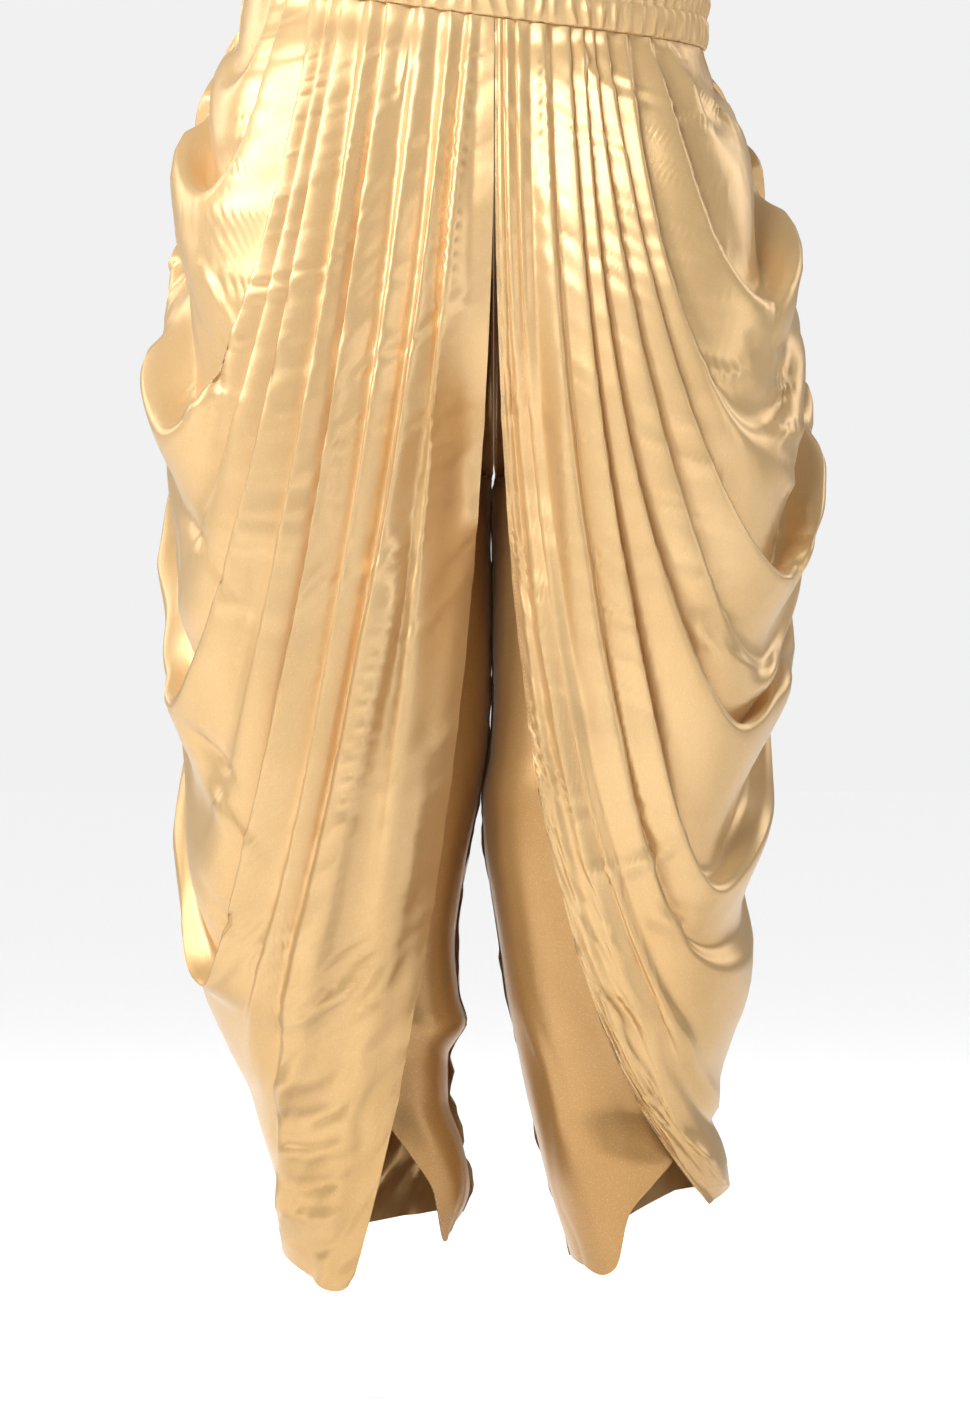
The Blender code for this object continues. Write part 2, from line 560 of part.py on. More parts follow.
def make_object(name, points, faces):
    mesh = bpy.data.meshes.new(name)
    mesh.from_pydata([tuple(point) for point in points], [], faces)
    mesh.update()
    obj = bpy.data.objects.new(name, mesh)
    bpy.context.scene.collection.objects.link(obj)
    material = bpy.data.materials.new(name + "_satin")
    material.use_nodes = True
    shader = material.node_tree.nodes["Principled BSDF"]
    shader.inputs["Base Color"].default_value = SATIN_COLOUR
    shader.inputs["Roughness"].default_value = SATIN_ROUGHNESS
    shader.inputs["Metallic"].default_value = 0.0
    mesh.materials.append(material)
    mesh.shade_smooth()
    mesh.set_sharp_from_angle(angle=1.2)
    return obj


def facing(grid, outward):
    """The grid with its columns in the order that turns its faces outwards."""
    first = np.diff(grid, axis=0)[:, :-1]
    second = np.diff(grid, axis=1)[:-1]
    return np.sum(np.cross(first, second) * outward[:-1, :-1]) > 0


def build_leg(leg, word):
    front, front_out = panel_grid(leg, front_rows(leg), -1, 1 - np.linspace(1, 0, FRONT_ROWS) ** ROW_CROWDING)
    back, back_out = panel_grid(leg, back_rows(leg), 1, np.linspace(0, 1, BACK_ROWS))
    # Front and back share their wall's direction along the outer side, and stand a seam's gap apart there
    shared = sum(row["end_across"] is SIDE for row in front_rows(leg)) - 1
    shared = next(k for k, (i, _) in enumerate(panel_columns(front_rows(leg))) if i == shared) + 1
    both = (front_out[:shared, -1] + back_out[:shared, -1]) / 2
    both[:, 1] = 0
    middle = (front[:shared, -1] + back[:shared, -1]) / 2
    for grid, outward, face in ((front, front_out, -1), (back, back_out, 1)):
        outward[:shared, -1] = both
        outward[:, 0, 2] = 0
        grid[:shared, -1] = middle
        grid[:shared, -1, 1] = face * SEAM_GAP / 2
    back[-1, :, 1] += SEAM_GAP / 2
    under, under_out = under_grid(leg)
    for kind, grid, outward in (("front", front, front_out), ("back", back, back_out), ("under", under, under_out)):
        if not facing(grid, outward):
            grid, outward = grid[::-1], outward[::-1]
        wall_mesh(word + "_" + kind + "_panel", grid, outward)


def main():
    for obj in list(bpy.data.objects):
        bpy.data.objects.remove(obj, do_unlink=True)
    band_mesh()
    build_leg(RIGHT_LEG, "right")
    build_leg(LEFT_LEG, "left")


main()
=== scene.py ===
# %% [markdown]
# Dhoti pants: a ruched waistband with two wide legs whose cloth is pleated at the front and falls in cowls
# at the outer sides, then tapers to hems that cross like tulip petals. The plain solids give the frame and
# the box. Every visible piece is cloth made here on the same draft, with far more points.

import bpy
import numpy as np
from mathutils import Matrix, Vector


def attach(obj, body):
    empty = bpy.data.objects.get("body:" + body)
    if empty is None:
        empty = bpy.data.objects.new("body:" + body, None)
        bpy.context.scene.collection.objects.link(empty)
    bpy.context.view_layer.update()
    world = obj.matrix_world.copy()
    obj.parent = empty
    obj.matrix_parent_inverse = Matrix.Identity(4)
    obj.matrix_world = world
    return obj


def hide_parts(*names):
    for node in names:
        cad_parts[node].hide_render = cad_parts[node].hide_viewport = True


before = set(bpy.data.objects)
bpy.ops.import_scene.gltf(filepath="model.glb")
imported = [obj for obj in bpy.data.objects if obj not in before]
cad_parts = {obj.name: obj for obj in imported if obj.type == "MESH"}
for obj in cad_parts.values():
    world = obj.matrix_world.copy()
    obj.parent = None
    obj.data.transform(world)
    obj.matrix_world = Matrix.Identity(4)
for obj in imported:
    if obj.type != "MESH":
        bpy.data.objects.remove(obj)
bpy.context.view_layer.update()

# %% [markdown]
# The drape is drafted on the front view in drafting units, across and down, and lifted from there onto plan
# sections of each leg. These are the driving sizes of the garment.

# %% Driving sizes
UNIT = 0.00078  # one drafting unit
ORIGIN_ACROSS = 473.0  # draft position of the waist opening's centre
ORIGIN_DOWN = -38.0
WALL = 0.0014
SEAM_GAP = 0.0003
WAIST_HALF_WIDTH = 232.0  # units
WAIST_HALF_DEPTH = 0.118
WAIST_TILT = 0.1315
BAND_EDGE_DOWN = 12.0  # units, the band's lower edge at the middle of the waist
BAND_SAG_FRONT = 10.0  # units that it hangs lower at the centre front
BAND_SAG_BACK = -6.0
BAND_HEIGHT = 0.048
BAND_WALL = 0.0030
BAND_GATHERS = 88
MIDLINE = 494.0  # units, centre-front and centre-back seams
FORM_ROUNDNESS = 2.4
PLEAT_AT_WAIST = 0.0022
VALLEY_AT = 0.80
VALLEY_AT_WAIST = 0.60  # the pleats stand nearly even where they are sewn to the band
BAND_CLEARANCE = 7.0  # units that the folds hang below the band between its seam and the side
FOLD_ROOM = 0.36  # a fold's half depth as a share of its spacing, at most
SIDE_CLEARANCE = 0.0035  # how far from the outer side a panel starts to fold
VALLEYS_SPREAD_BY = 0.35  # the share of a fold's length by which the pleats have opened
LEAST_ROOM = 0.0008  # the narrowest spacing that a fold may fill
STRAIGHTENING = 0.7  # the share of its lean that a lip loses at the outer side
FALL_STEP = 0.0015  # how much lower each fold stays below the band than the one before it
FRONT_CLOSING = 0.80  # the front panels hang free, so they follow the form only this far towards the crotch
UNDER_COLUMNS = 44
UNDER_ROWS = 150
CROTCH_DOWN = 470.0  # units, where the centre seam ends
SEAM_MARGIN = 0.4  # units between the centre seam and each leg's form where the form is open
SEAM_MARGIN_CLOSED = 2.2  # and where it has closed
CENTRE_REACH = 70.0  # units beside the midline over which the form closes
BAND_REACH = 28.0  # units below the band over which the cloth leaves the band's oval
FOLD_TOP_GAP = 0.0002  # between the folds' top edge and the band, beyond the seam's own gap

# %% [markdown]
# Each leg's plain form is a stack of rounded plan sections. Over it run the folds, one row each: a line from
# the waist to the outer side or the hem, with the depth and lean of its lip.

# %% Sections and folds
# Plan sections of the right leg. Down, outer side, middle and inner side in units, depths in mm
SECTION_COLUMNS = ("down", "outer", "middle", "inner", "front", "back")
RIGHT_SECTIONS = (
    (-40, 241, 473, 705, 118, 118),
    (-18, 241, 473, 705, 118, 118),
    (25, 236, 470, 705, 121, 121),
    (50, 226, 466, 702, 126, 127),
    (100, 208, 456, 692, 134, 138),
    (150, 192, 444, 675, 141, 149),
    (200, 182, 430, 655, 148, 158),
    (250, 178, 415, 628, 152, 165),
    (300, 172, 400, 600, 156, 170),
    (350, 166, 386, 570, 158, 172),
    (400, 162, 372, 540, 160, 172),
    (450, 164, 358, 505, 159, 169),
    (475, 168, 351, 490.8, 158, 167),
    (550, 172, 340, 490.8, 155, 161),
    (650, 171, 332, 490.8, 149, 152),
    (700, 176, 330, 490.8, 145, 148),
    (750, 184, 329, 487.8, 141, 144),
    (800, 186, 328, 479.6, 136, 140),
    (875, 186, 321, 465, 127, 133),
    (950, 187, 319, 456, 118, 124),
    (1000, 196, 322, 460, 112, 118),
    (1025, 208, 328, 467, 108, 114),
    (1060, 229, 338, 449, 102, 109),
    (1100, 247, 348, 449, 94, 102),
    (1150, 257, 358, 464, 87, 95),
    (1190, 267, 366, 471, 81, 89),
    (1250, 282, 368, 452, 77, 83),
    (1320, 300, 372, 450, 73, 80),
)
# Plan sections of the left leg
LEFT_SECTIONS = (
    (-40, 705, 473, 241, 118, 118),
    (43, 705, 473, 241, 118, 118),
    (60, 709, 482, 244, 125, 126),
    (100, 728, 500, 262, 134, 138),
    (150, 747, 520, 290, 141, 149),
    (200, 766, 540, 322, 148, 158),
    (250, 784, 560, 356, 152, 165),
    (300, 799, 580, 390, 156, 170),
    (350, 801, 596, 424, 158, 172),
    (400, 802, 610, 452, 160, 172),
    (450, 806, 622, 484, 159, 169),
    (475, 808, 628, 491, 158, 167),
    (550, 806, 637, 491.5, 155, 161),
    (600, 795, 640, 491.5, 152, 157),
    (650, 783, 641, 491.5, 149, 152),
    (700, 780, 640, 492, 145, 148),
    (750, 768, 636, 489, 141, 144),
    (800, 760, 632, 481, 136, 140),
    (850, 758, 630, 483, 130, 135),
    (900, 754, 630, 491, 124, 130),
    (950, 750, 631, 499, 118, 124),
    (1000, 748, 632, 506, 112, 118),
    (1050, 740, 632, 516, 104, 110),
    (1100, 725, 631, 526, 94, 102),
    (1125, 716, 633, 532, 91, 99),
    (1150, 727, 638, 538, 87, 95),
    (1190, 730, 641, 548, 81, 89),
    (1250, 724, 646, 567, 77, 83),
    (1320, 722, 655, 588, 73, 80),
)
# How far the plain form has closed towards the crotch at the midline. Down in units, then 0 open to 1 closed
CLOSING = (
    (-40, 0.09), (100, 0.15), (200, 0.27), (300, 0.45), (400, 0.73), (430, 0.84), (455, 0.94), (474, 1.0),
)

# Folds, one row each, from the band at the outer side to the free front edge. The line runs from the waist
# by two draft handles to its end, on the outer side where the end is SIDE and on the hem otherwise. Front
# and end are the fold's half depth in mm, lean is how far its lip leans to the outer side, and opens is the
# way that the pocket before the lip faces: 1 to the outer side, -1 to the centre.
SIDE = None
FOLD_COLUMNS = (
    "name", "waist", "near_across", "near_down", "far_across", "far_down", "end_across", "end_down",
    "front", "end", "lean", "opens",
)
RIGHT_FOLDS = (
    ("band", 262, 0, 0, SIDE, 0, SIDE, -18, 0.0, 0.0, 0.0, 1),
    ("hip tuck", 280, 265, 50, SIDE, 150, SIDE, 48, 4.0, 5.0, 0.6, 1),
    ("cowl 1", 291, 275, 100, SIDE, 330, SIDE, 120, 5.0, 20.0, 1.2, 1),
    ("cowl 2", 322, 285, 260, SIDE, 640, SIDE, 340, 6.0, 25.0, 1.2, 1),
    ("pleat e", 334, 305, 200, SIDE, 800, SIDE, 460, 4.5, 2.0, 0.8, 1),
    ("cowl 3", 347, 300, 330, SIDE, 1000, SIDE, 580, 6.5, 22.0, 1.2, 1),
    ("pleat g", 374, 325, 400, SIDE, 1160, SIDE, 715, 5.0, 2.0, 0.8, 1),
    ("cowl 4", 392, 345, 500, SIDE, 1340, SIDE, 850, 6.5, 18.0, 1.2, 1),
    ("pleat j", 425, 385, 430, 262, 1180, SIDE, 1060, 5.0, 3.0, 0.8, 1),
    ("ridge m", 452, 420, 450, 300, 1050, SIDE, 1252, 7.0, 3.0, 0.6, 1),
    ("pleat l", 473, 430, 450, 400, 850, 322, 1285, 7.0, 3.0, 0.8, 1),
    ("edge", 493.6, 500, 420, 455, 950, 345, 1307, 0.0, 0.0, 0.0, 1),
)
LEFT_FOLDS = (
    ("band", 684, 0, 0, SIDE, 0, SIDE, 43, 0.0, 0.0, 0.0, 1),
    ("hip tuck", 667, 690, 80, SIDE, 215, SIDE, 95, 4.0, 5.0, 0.6, 1),
    ("cowl 1", 645, 665, 130, SIDE, 510, SIDE, 200, 5.5, 20.0, 1.2, 1),
    ("ridge b", 622, 640, 330, 772, 620, SIDE, 330, 5.5, 6.0, 0.8, 1),
    ("cowl 2", 601, 625, 330, SIDE, 860, SIDE, 430, 6.0, 24.0, 1.2, 1),
    ("ridge a", 590, 605, 380, 780, 900, SIDE, 570, 5.0, 3.0, 0.8, 1),
    ("cowl 3", 579, 590, 520, 722, 900, SIDE, 655, 6.0, 18.0, 1.2, 1),
    ("cowl 4", 565, 575, 480, 690, 1150, SIDE, 800, 7.0, 16.0, 1.2, 1),
    ("pleat n", 542, 548, 480, 640, 1090, SIDE, 950, 4.0, 7.0, 0.6, 1),
    ("deep line", 519, 520, 500, 545, 900, SIDE, 1125, 6.0, 5.0, -0.9, 1),
    ("strip", 507, 508, 520, 540, 940, SIDE, 1188, 4.0, 2.0, -0.5, -1),
    ("hem turn", 500, 500, 540, 535, 950, 708, 1204, 2.0, 1.5, 0.0, 1),
    ("edge", 494.8, 490, 560, 530, 960, 673, 1158, 0.0, 0.0, 0.0, 1),
)
# The back's folds that end on the hem. Those above them carry on from the front round the outer side
RIGHT_BACK_FOLDS = (
    ("back pleat 1", 466, 440, 400, 360, 1000, 352, 1240, 7.0, 3.0, 0.8, 1),
    ("back pleat 2", 482, 466, 400, 410, 1000, 412, 1228, 6.0, 3.0, 0.8, 1),
)
LEFT_BACK_FOLDS = (
    ("back pleat 1", 503, 545, 400, 655, 950, 678, 1204, 7.0, 3.0, 0.8, 1),
    ("back pleat 2", 499, 520, 400, 590, 1000, 624, 1236, 6.0, 3.0, 0.8, 1),
)
BACK_RISE = 0.45
BACK_EVENNESS = 0.65  # how far the back's pleats are evened out along the waist

# The under panels' front edges, down and across, hidden beneath the front panels down to the tulip opening
RIGHT_UNDER_EDGE = ((285, 450), (500, 420), (700, 398), (900, 374), (1050, 368), (1100, 379), (1113, 389),
                    (1155, 419), (1195, 440), (1235, 444), (1260, 446))
LEFT_UNDER_EDGE = ((285, 540), (500, 562), (700, 590), (900, 622), (1050, 660), (1120, 675), (1152, 676),
                   (1180, 655), (1215, 628), (1250, 620), (1286, 612))
UNDER_TOP = 285.0
UNDER_TUCK = 0.0200  # how far inside the front panel the under panel lies
UNDER_TUCK_TOP = 0.012  # and at its top, beside the centre seam
RIGHT_LEG = {
    "side": -1, "sections": RIGHT_SECTIONS, "folds": RIGHT_FOLDS, "back_folds": RIGHT_BACK_FOLDS,
    "under_edge": RIGHT_UNDER_EDGE, "seam_hem": 1218.0, "edge_limit": 493.6,
}
LEFT_LEG = {
    "side": 1, "sections": LEFT_SECTIONS, "folds": LEFT_FOLDS, "back_folds": LEFT_BACK_FOLDS,
    "under_edge": LEFT_UNDER_EDGE, "seam_hem": 1262.0, "edge_limit": 494.8,
}
PATH_SAMPLES = np.linspace(0.0, 1.0, 241)
SMALL_FOLD = 8.0  # mm, the deepest fold that needs fewer columns
BACK_START = 0.40  # a carried fold leaves the band this share as steeply behind as in front
BACK_DROP = -60.0  # units, the most that it falls behind the side
EDGE_STRAIGHT_TO = 330.0  # units, down to here the free edge keeps beside the centre seam

# %% [markdown]
# These helpers read the tables and turn a fold's draft line into points of cloth. A lip is raised from the
# plain form and leans over the pocket beside it.

# %% Drafting helpers
def curve_through(rows, at, column=1):
    """A smooth curve through a table's rows, without overshoot, read at any value of their first column."""
    xs = np.array([row[0] for row in rows], float)
    ys = np.array([row[column] for row in rows], float)
    step = np.diff(xs)
    slope = np.diff(ys) / step
    tangent = np.zeros_like(ys)
    same_way = slope[:-1] * slope[1:] > 0
    both = np.where(same_way, slope[:-1] + slope[1:], 1.0)
    tangent[1:-1] = np.where(same_way, 2 * slope[:-1] * slope[1:] / both, 0.0)
    tangent[0], tangent[-1] = slope[0], slope[-1]
    at = np.clip(at, xs[0], xs[-1])
    i = np.clip(np.searchsorted(xs, at) - 1, 0, len(step) - 1)
    u = (at - xs[i]) / step[i]
    ease = u * u * (3 - 2 * u)
    return (
        ys[i] * (1 - ease)
        + ys[i + 1] * ease
        + step[i] * (u * (1 - u) ** 2 * tangent[i] - u * u * (1 - u) * tangent[i + 1])
    )


def smoothstep(value):
    value = np.clip(value, 0.0, 1.0)
    return value * value * (3 - 2 * value)


def rising(value, start, end):
    """0 up to the start, 1 from the end on, and smooth between them."""
    return smoothstep((value - start) / (end - start))


def unit(vectors):
    return vectors / np.maximum(np.linalg.norm(vectors, axis=-1, keepdims=True), 1e-12)


def section(leg, name, down):
    return curve_through(leg["sections"], down, SECTION_COLUMNS.index(name))


def band_down(across, face):
    """The waistband's lower edge, tilted, and hanging lowest at the centre front."""
    offset = (across - ORIGIN_ACROSS) / WAIST_HALF_WIDTH
    centred = 1 - np.clip(offset * offset, 0, 1)
    sag = np.where(face < 0, BAND_SAG_FRONT, BAND_SAG_BACK)
    return BAND_EDGE_DOWN + WAIST_TILT * (across - ORIGIN_ACROSS) + sag * centred


def fold_top(across, face):
    """The height at which the folds' top edge meets the band's lower edge."""
    return -(band_down(across, face) - ORIGIN_DOWN) * UNIT - SEAM_GAP - FOLD_TOP_GAP


def inner_line(leg, down):
    """The centre seam above the crotch, and the inner leg seam below it."""
    inner = section(leg, "inner", down)
    closed = curve_through(CLOSING, down)
    closing = rising(closed, 0.4, 0.9)
    limit = MIDLINE + leg["side"] * (SEAM_MARGIN + (SEAM_MARGIN_CLOSED - SEAM_MARGIN) * closing)
    limited = np.minimum(inner, limit) if leg["side"] < 0 else np.maximum(inner, limit)
    return limited + (inner - limited) * rising(down, CROTCH_DOWN, CROTCH_DOWN + 20)


def lift(leg, across, down, face, free=False):
    """Points and outward normals of a leg's plain form at draft positions, on its front (-1) or back (1)."""
    middle = section(leg, "middle", down)
    outer = section(leg, "outer", down)
    inner = section(leg, "inner", down)
    offset = across - middle
    half = np.where(offset * leg["side"] > 0, np.abs(outer - middle), np.abs(inner - middle))
    reach = np.clip(np.abs(offset) / half, 0.0, 1.0)
    depth = section(leg, "front" if face < 0 else "back", down) / 1000
    rise = (1 - reach**FORM_ROUNDNESS) ** (1 / FORM_ROUNDNESS)
    closed = np.clip(curve_through(CLOSING, down), 0, FRONT_CLOSING if free else 1)
    centre_rise = (1 - closed**FORM_ROUNDNESS) ** (1 / FORM_ROUNDNESS)
    above_crotch = rising(down, 640, 480) if free else rising(down, 480, 470)
    near_centre = smoothstep(1 - np.abs(across - MIDLINE) / CENTRE_REACH) * above_crotch
    shown_rise = rise + (centre_rise - rise) * near_centre
    ring = np.clip(np.abs(across - ORIGIN_ACROSS) / WAIST_HALF_WIDTH, 0, 1)
    ring_y = WAIST_HALF_DEPTH * np.sqrt(1 - ring**2)
    near_band = np.exp(-(((down - band_down(across, face)) / BAND_REACH) ** 2))
    y = shown_rise * depth
    y = face * (y + (ring_y - y) * near_band)
    x = (middle + np.sign(offset) * half * reach - ORIGIN_ACROSS) * UNIT
    z = -(down - ORIGIN_DOWN) * UNIT
    outward = np.sign(offset) * reach ** (FORM_ROUNDNESS - 1) / (half * UNIT)
    facing = face * np.maximum(rise, 1e-4) ** (FORM_ROUNDNESS - 1) / depth
    normal = unit(np.stack([outward, facing, np.zeros_like(x)], axis=-1))
    # Beside the centre seam the cloth faces straight forwards or backwards
    normal[..., 1] += 2 * face * near_centre
    return np.stack([x, y, z], axis=-1), unit(normal)


def bezier(points):
    q = PATH_SAMPLES[:, None]
    a, b, c, d = (np.array(point, float) for point in points)
    return (1 - q) ** 3 * a + 3 * q * (1 - q) ** 2 * b + 3 * q * q * (1 - q) * c + q**3 * d


def band_path(leg, row, face):
    """Along the band's lower edge from the first pleat to the outer side."""
    end = ORIGIN_ACROSS + leg["side"] * WAIST_HALF_WIDTH
    across = row["waist"] + (end - row["waist"]) * np.sin(PATH_SAMPLES * np.pi / 2)
    return np.stack([across, band_down(across, face) + 0.5], axis=-1)


def fold_line(leg, row, face):
    """A fold's draft line, from the waist to the outer side or the hem."""
    if row["name"] == "band":
        return band_path(leg, row, face)
    if row["name"] == "seam":
        down = band_down(MIDLINE, face) + (leg["seam_hem"] - band_down(MIDLINE, face)) * PATH_SAMPLES
        return np.stack([inner_line(leg, down), down], axis=-1)
    outer = float(section(leg, "outer", row["end_down"]))
    start = (row["waist"], float(band_down(row["waist"], face)))
    near = (row["near_across"], row["near_down"])
    far = (outer if row["far_across"] is SIDE else row["far_across"], row["far_down"])
    end = (outer if row["end_across"] is SIDE else row["end_across"], row["end_down"])
    if face > 0 and row["end_across"] is SIDE:
        # Behind the side the cowls climb, so each carries on upwards from its crossing
        near_band = float(band_down(row["near_across"], face))
        near = (row["near_across"], near_band + (row["near_down"] - near_band) * BACK_START)
        rise = BACK_RISE * max(row["far_down"] - row["end_down"], BACK_DROP)
        side_band = float(band_down(ORIGIN_ACROSS + leg["side"] * WAIST_HALF_WIDTH, face))
        far = (outer, max(row["end_down"] - rise, (row["end_down"] + side_band) / 2))
    line = bezier((start, near, far, end))
    if row["name"] == "edge":
        limit = np.where(line[:, 1] < EDGE_STRAIGHT_TO, leg["edge_limit"], line[:, 0])
        line[:, 0] = np.minimum(line[:, 0], limit) if leg["side"] < 0 else np.maximum(line[:, 0], limit)
    return line


def named(row, columns):
    return dict(zip(columns, row))


def front_rows(leg):
    return [named(row, FOLD_COLUMNS) for row in leg["folds"]]


def back_rows(leg):
    carried = [row for row in front_rows(leg) if row["end_across"] is SIDE]
    own = [named(row, FOLD_COLUMNS) for row in leg["back_folds"]]
    seam = dict(own[-1], name="seam", waist=MIDLINE, front=0.0, end=0.0, lean=0.0)
    rows = carried + own + [seam]
    even = np.linspace(rows[0]["waist"], MIDLINE, len(rows))
    for row, waist in zip(rows[:-1], even):
        row["waist"] += (waist - row["waist"]) * BACK_EVENNESS
    return rows


def fold_profile(phase, first, second):
    """Height and lean of the cloth between two lips: 1 at a lip, -1 at the bottom of the pocket."""
    opens = second["opens"]
    valley = VALLEY_AT if opens > 0 else 1 - VALLEY_AT
    # The pocket's bottom slips as far as the lip that hangs over it
    slip = max(second["lean"], 0.1) if opens > 0 else min(first["lean"], -0.1)
    if phase <= valley:
        height = np.cos(np.pi * phase / valley)
        lean = first["lean"] + (slip - first["lean"]) * rising(phase, 0, valley)
    else:
        part = (phase - valley) / (1 - valley)
        height = -np.cos(np.pi * part)
        lean = slip + (second["lean"] - slip) * smoothstep(part)
    return height, lean


def placed(phase, opens):
    """Where a column stands between two fold lines: the valleys move as the pleats open down the leg."""
    valley = VALLEY_AT_WAIST + (VALLEY_AT - VALLEY_AT_WAIST) * rising(PATH_SAMPLES, 0, VALLEYS_SPREAD_BY)
    share = phase if opens > 0 else 1 - phase
    if share <= VALLEY_AT:
        place = share / VALLEY_AT * valley
    else:
        place = valley + (share - VALLEY_AT) / (1 - VALLEY_AT) * (1 - valley)
    return place if opens > 0 else 1 - place


def half_depth(row, t):
    """A fold's half depth along its line, shallow where it is sewn to the band."""
    front = row["front"] / 1000
    end = row["end"] / 1000
    at_waist = min(PLEAT_AT_WAIST, front)
    depth = at_waist + (front - at_waist) * rising(t, 0, 0.22)
    return depth + (end - front) * rising(t, 0.42, 0.92)


def resampled(points, values, t):
    """Values along a line of points, read at fractions t of its length."""
    steps = np.linalg.norm(np.diff(points, axis=0), axis=1)
    length = np.concatenate([[0.0], np.cumsum(steps)])
    length /= length[-1]
    return np.stack([np.interp(t, length, values[:, k]) for k in range(3)], axis=-1)


def spacings(leg, lines, face, t):
    """The distance between each fold line and the next, at fractions t of their length."""
    lifted = []
    for line in lines:
        points, _ = lift(leg, line[:, 0], line[:, 1], face, face < 0)
        lifted.append(resampled(points, points, t))
    lifted = np.array(lifted)
    along = unit(np.gradient(lifted, axis=1))
    gap = lifted[1:] - lifted[:-1]
    gap -= along[:-1] * np.sum(gap * along[:-1], axis=-1, keepdims=True)
    gaps = np.linalg.norm(gap, axis=-1)
    return np.concatenate([gaps[:1], gaps, gaps[-1:]])


def fitted(depth, room):
    """A half depth eased down to what the spacing of the folds leaves room for."""
    most = FOLD_ROOM * np.maximum(room - 1.5 * WALL, LEAST_ROOM)
    return depth / (1 + (depth / most) ** 3) ** (1 / 3)


def cloth_column(leg, rows, lines, room, i, phase, face, t):
    """Points of the cloth down one line between folds i and i + 1."""
    after = min(i + 1, len(rows) - 1)
    first, second = rows[i], rows[after]
    along_band = first["name"] == "band" and phase == 0
    line = lines[i] + (lines[after] - lines[i]) * placed(phase, second["opens"])[:, None]
    if first["end_across"] is SIDE and first["name"] != "band":
        # The line follows the outer side's curve as it nears it
        share = 1.0 if second["end_across"] is SIDE else 1.0 - phase
        outer = section(leg, "outer", line[:, 1])
        line = line + np.stack([(outer - line[-1, 0]) * PATH_SAMPLES**3 * share, 0 * PATH_SAMPLES], axis=-1)
    if not along_band:
        below = band_down(line[:, 0], face) + 0.5 + BAND_CLEARANCE * np.sin(np.pi * PATH_SAMPLES) ** 0.7
        line = np.stack([line[:, 0], np.maximum(line[:, 1], below)], axis=-1)
    points, normals = lift(leg, line[:, 0], line[:, 1], face, face < 0)
    along = unit(np.gradient(points, axis=0))
    points, normals, along = (resampled(points, values, t) for values in (points, normals, along))
    if second["end_across"] is SIDE:
        # Front and back agree on the folds' direction where they meet at the outer side
        crossing = np.array([0.0, 1.0, 0.0]) * (1 if face < 0 else -1)
        near_side = rising(t, 0.72, 1)[:, None]
        along = unit(along * (1 - near_side) + crossing * near_side)
    normals = unit(normals - along * np.sum(normals * along, axis=1, keepdims=True))
    # The way across the folds, towards the centre seam
    across = unit(-leg["side"] * np.cross(normals, along) * (1 if face < 0 else -1))
    height, lean = fold_profile(phase, first, second)
    mix = rising(phase, 0, VALLEY_AT)
    # A fold's depth goes by the narrower of the spacings on its two sides
    past_first = rising(phase, 0, 0.5)
    near_next = rising(phase, VALLEY_AT, 1)
    own = np.minimum(room[i + 1], room[i]) * (1 - past_first) + room[i + 1] * past_first
    next_own = np.minimum(room[i + 1], room[min(i + 2, len(room) - 1)])
    own = own * (1 - near_next) + next_own * near_next
    depth = half_depth(first, t) * (1 - mix) + half_depth(second, t) * mix
    if first["name"] == "band":
        depth = half_depth(second, t) * smoothstep(phase)
    # Near the outer side the lips stand up straighter
    lean = lean * (1 - STRAIGHTENING * rising(t, 0.62, 0.96))[:, None]
    raised = normals - across * lean
    points = points + raised * (height * fitted(depth, own))[:, None]
    if not along_band:
        top = fold_top(points[0, 0] / UNIT + ORIGIN_ACROSS, face)
        points[:, 2] += (top - points[0, 2]) * (1 - rising(t, 0, 0.06))
    # No fold climbs over the band
    ceiling = fold_top(points[:, 0] / UNIT + ORIGIN_ACROSS, face)
    points[:, 2] = np.minimum(points[:, 2], ceiling - FALL_STEP * rising(t, 0, 0.1) * np.sqrt(phase + i))
    # Nor does it cross the outer side's plane
    room_left = np.minimum((len(t) - 1 - np.arange(len(t))) * SIDE_CLEARANCE, 2 * SIDE_CLEARANCE)
    room_left[-1] = SEAM_GAP / 2
    near_outer = rising(t, 0.5, 0.7) if second["end_across"] is SIDE else np.zeros_like(t)
    points[:, 1] = face * np.maximum(points[:, 1] * face, room_left * near_outer)
    return points


def under_grid(leg):
    """The under panel, from the centre or inner leg seam forward to its edge, row by row down the leg."""
    across_share = np.linspace(0, 1, UNDER_COLUMNS) ** 1.2
    down_share = np.linspace(0, 1, UNDER_ROWS)
    edge_hem = leg["under_edge"][-1][0]
    free = fold_line(leg, front_rows(leg)[-1], -1)
    columns = []
    for share in across_share:
        hem = leg["seam_hem"] + (edge_hem - leg["seam_hem"]) * share
        down = UNDER_TOP + (hem - UNDER_TOP) * down_share
        seam = inner_line(leg, down)
        front = curve_through(leg["under_edge"], down)
        across = seam + (front - seam) * share
        points, normals = lift(leg, across, down, -1)
        edge_across = np.interp(down, free[:, 1], free[:, 0])
        width = np.maximum((edge_across - seam) * leg["side"] - 3, 1.0)
        beneath = rising((across - seam) * leg["side"], 0, width)
        beneath = beneath * (1 - rising(down, free[-1, 1] - 50, free[-1, 1] + 10))
        at_seam = UNDER_TUCK_TOP + (WALL - UNDER_TUCK_TOP) * rising(down, 320, 430)
        tuck = at_seam + (UNDER_TUCK - at_seam) * beneath
        points = points - normals * tuck[:, None]
        if share == 0:
            points[:, 1] -= SEAM_GAP / 2
        columns.append(points)
    return np.stack(columns)


# %% [markdown]
# Real satin never falls in clean curves. Between the pleats it buckles into long soft wrinkles, so a seeded
# lattice of random heights is blended smoothly and stretched along the fall of the cloth.

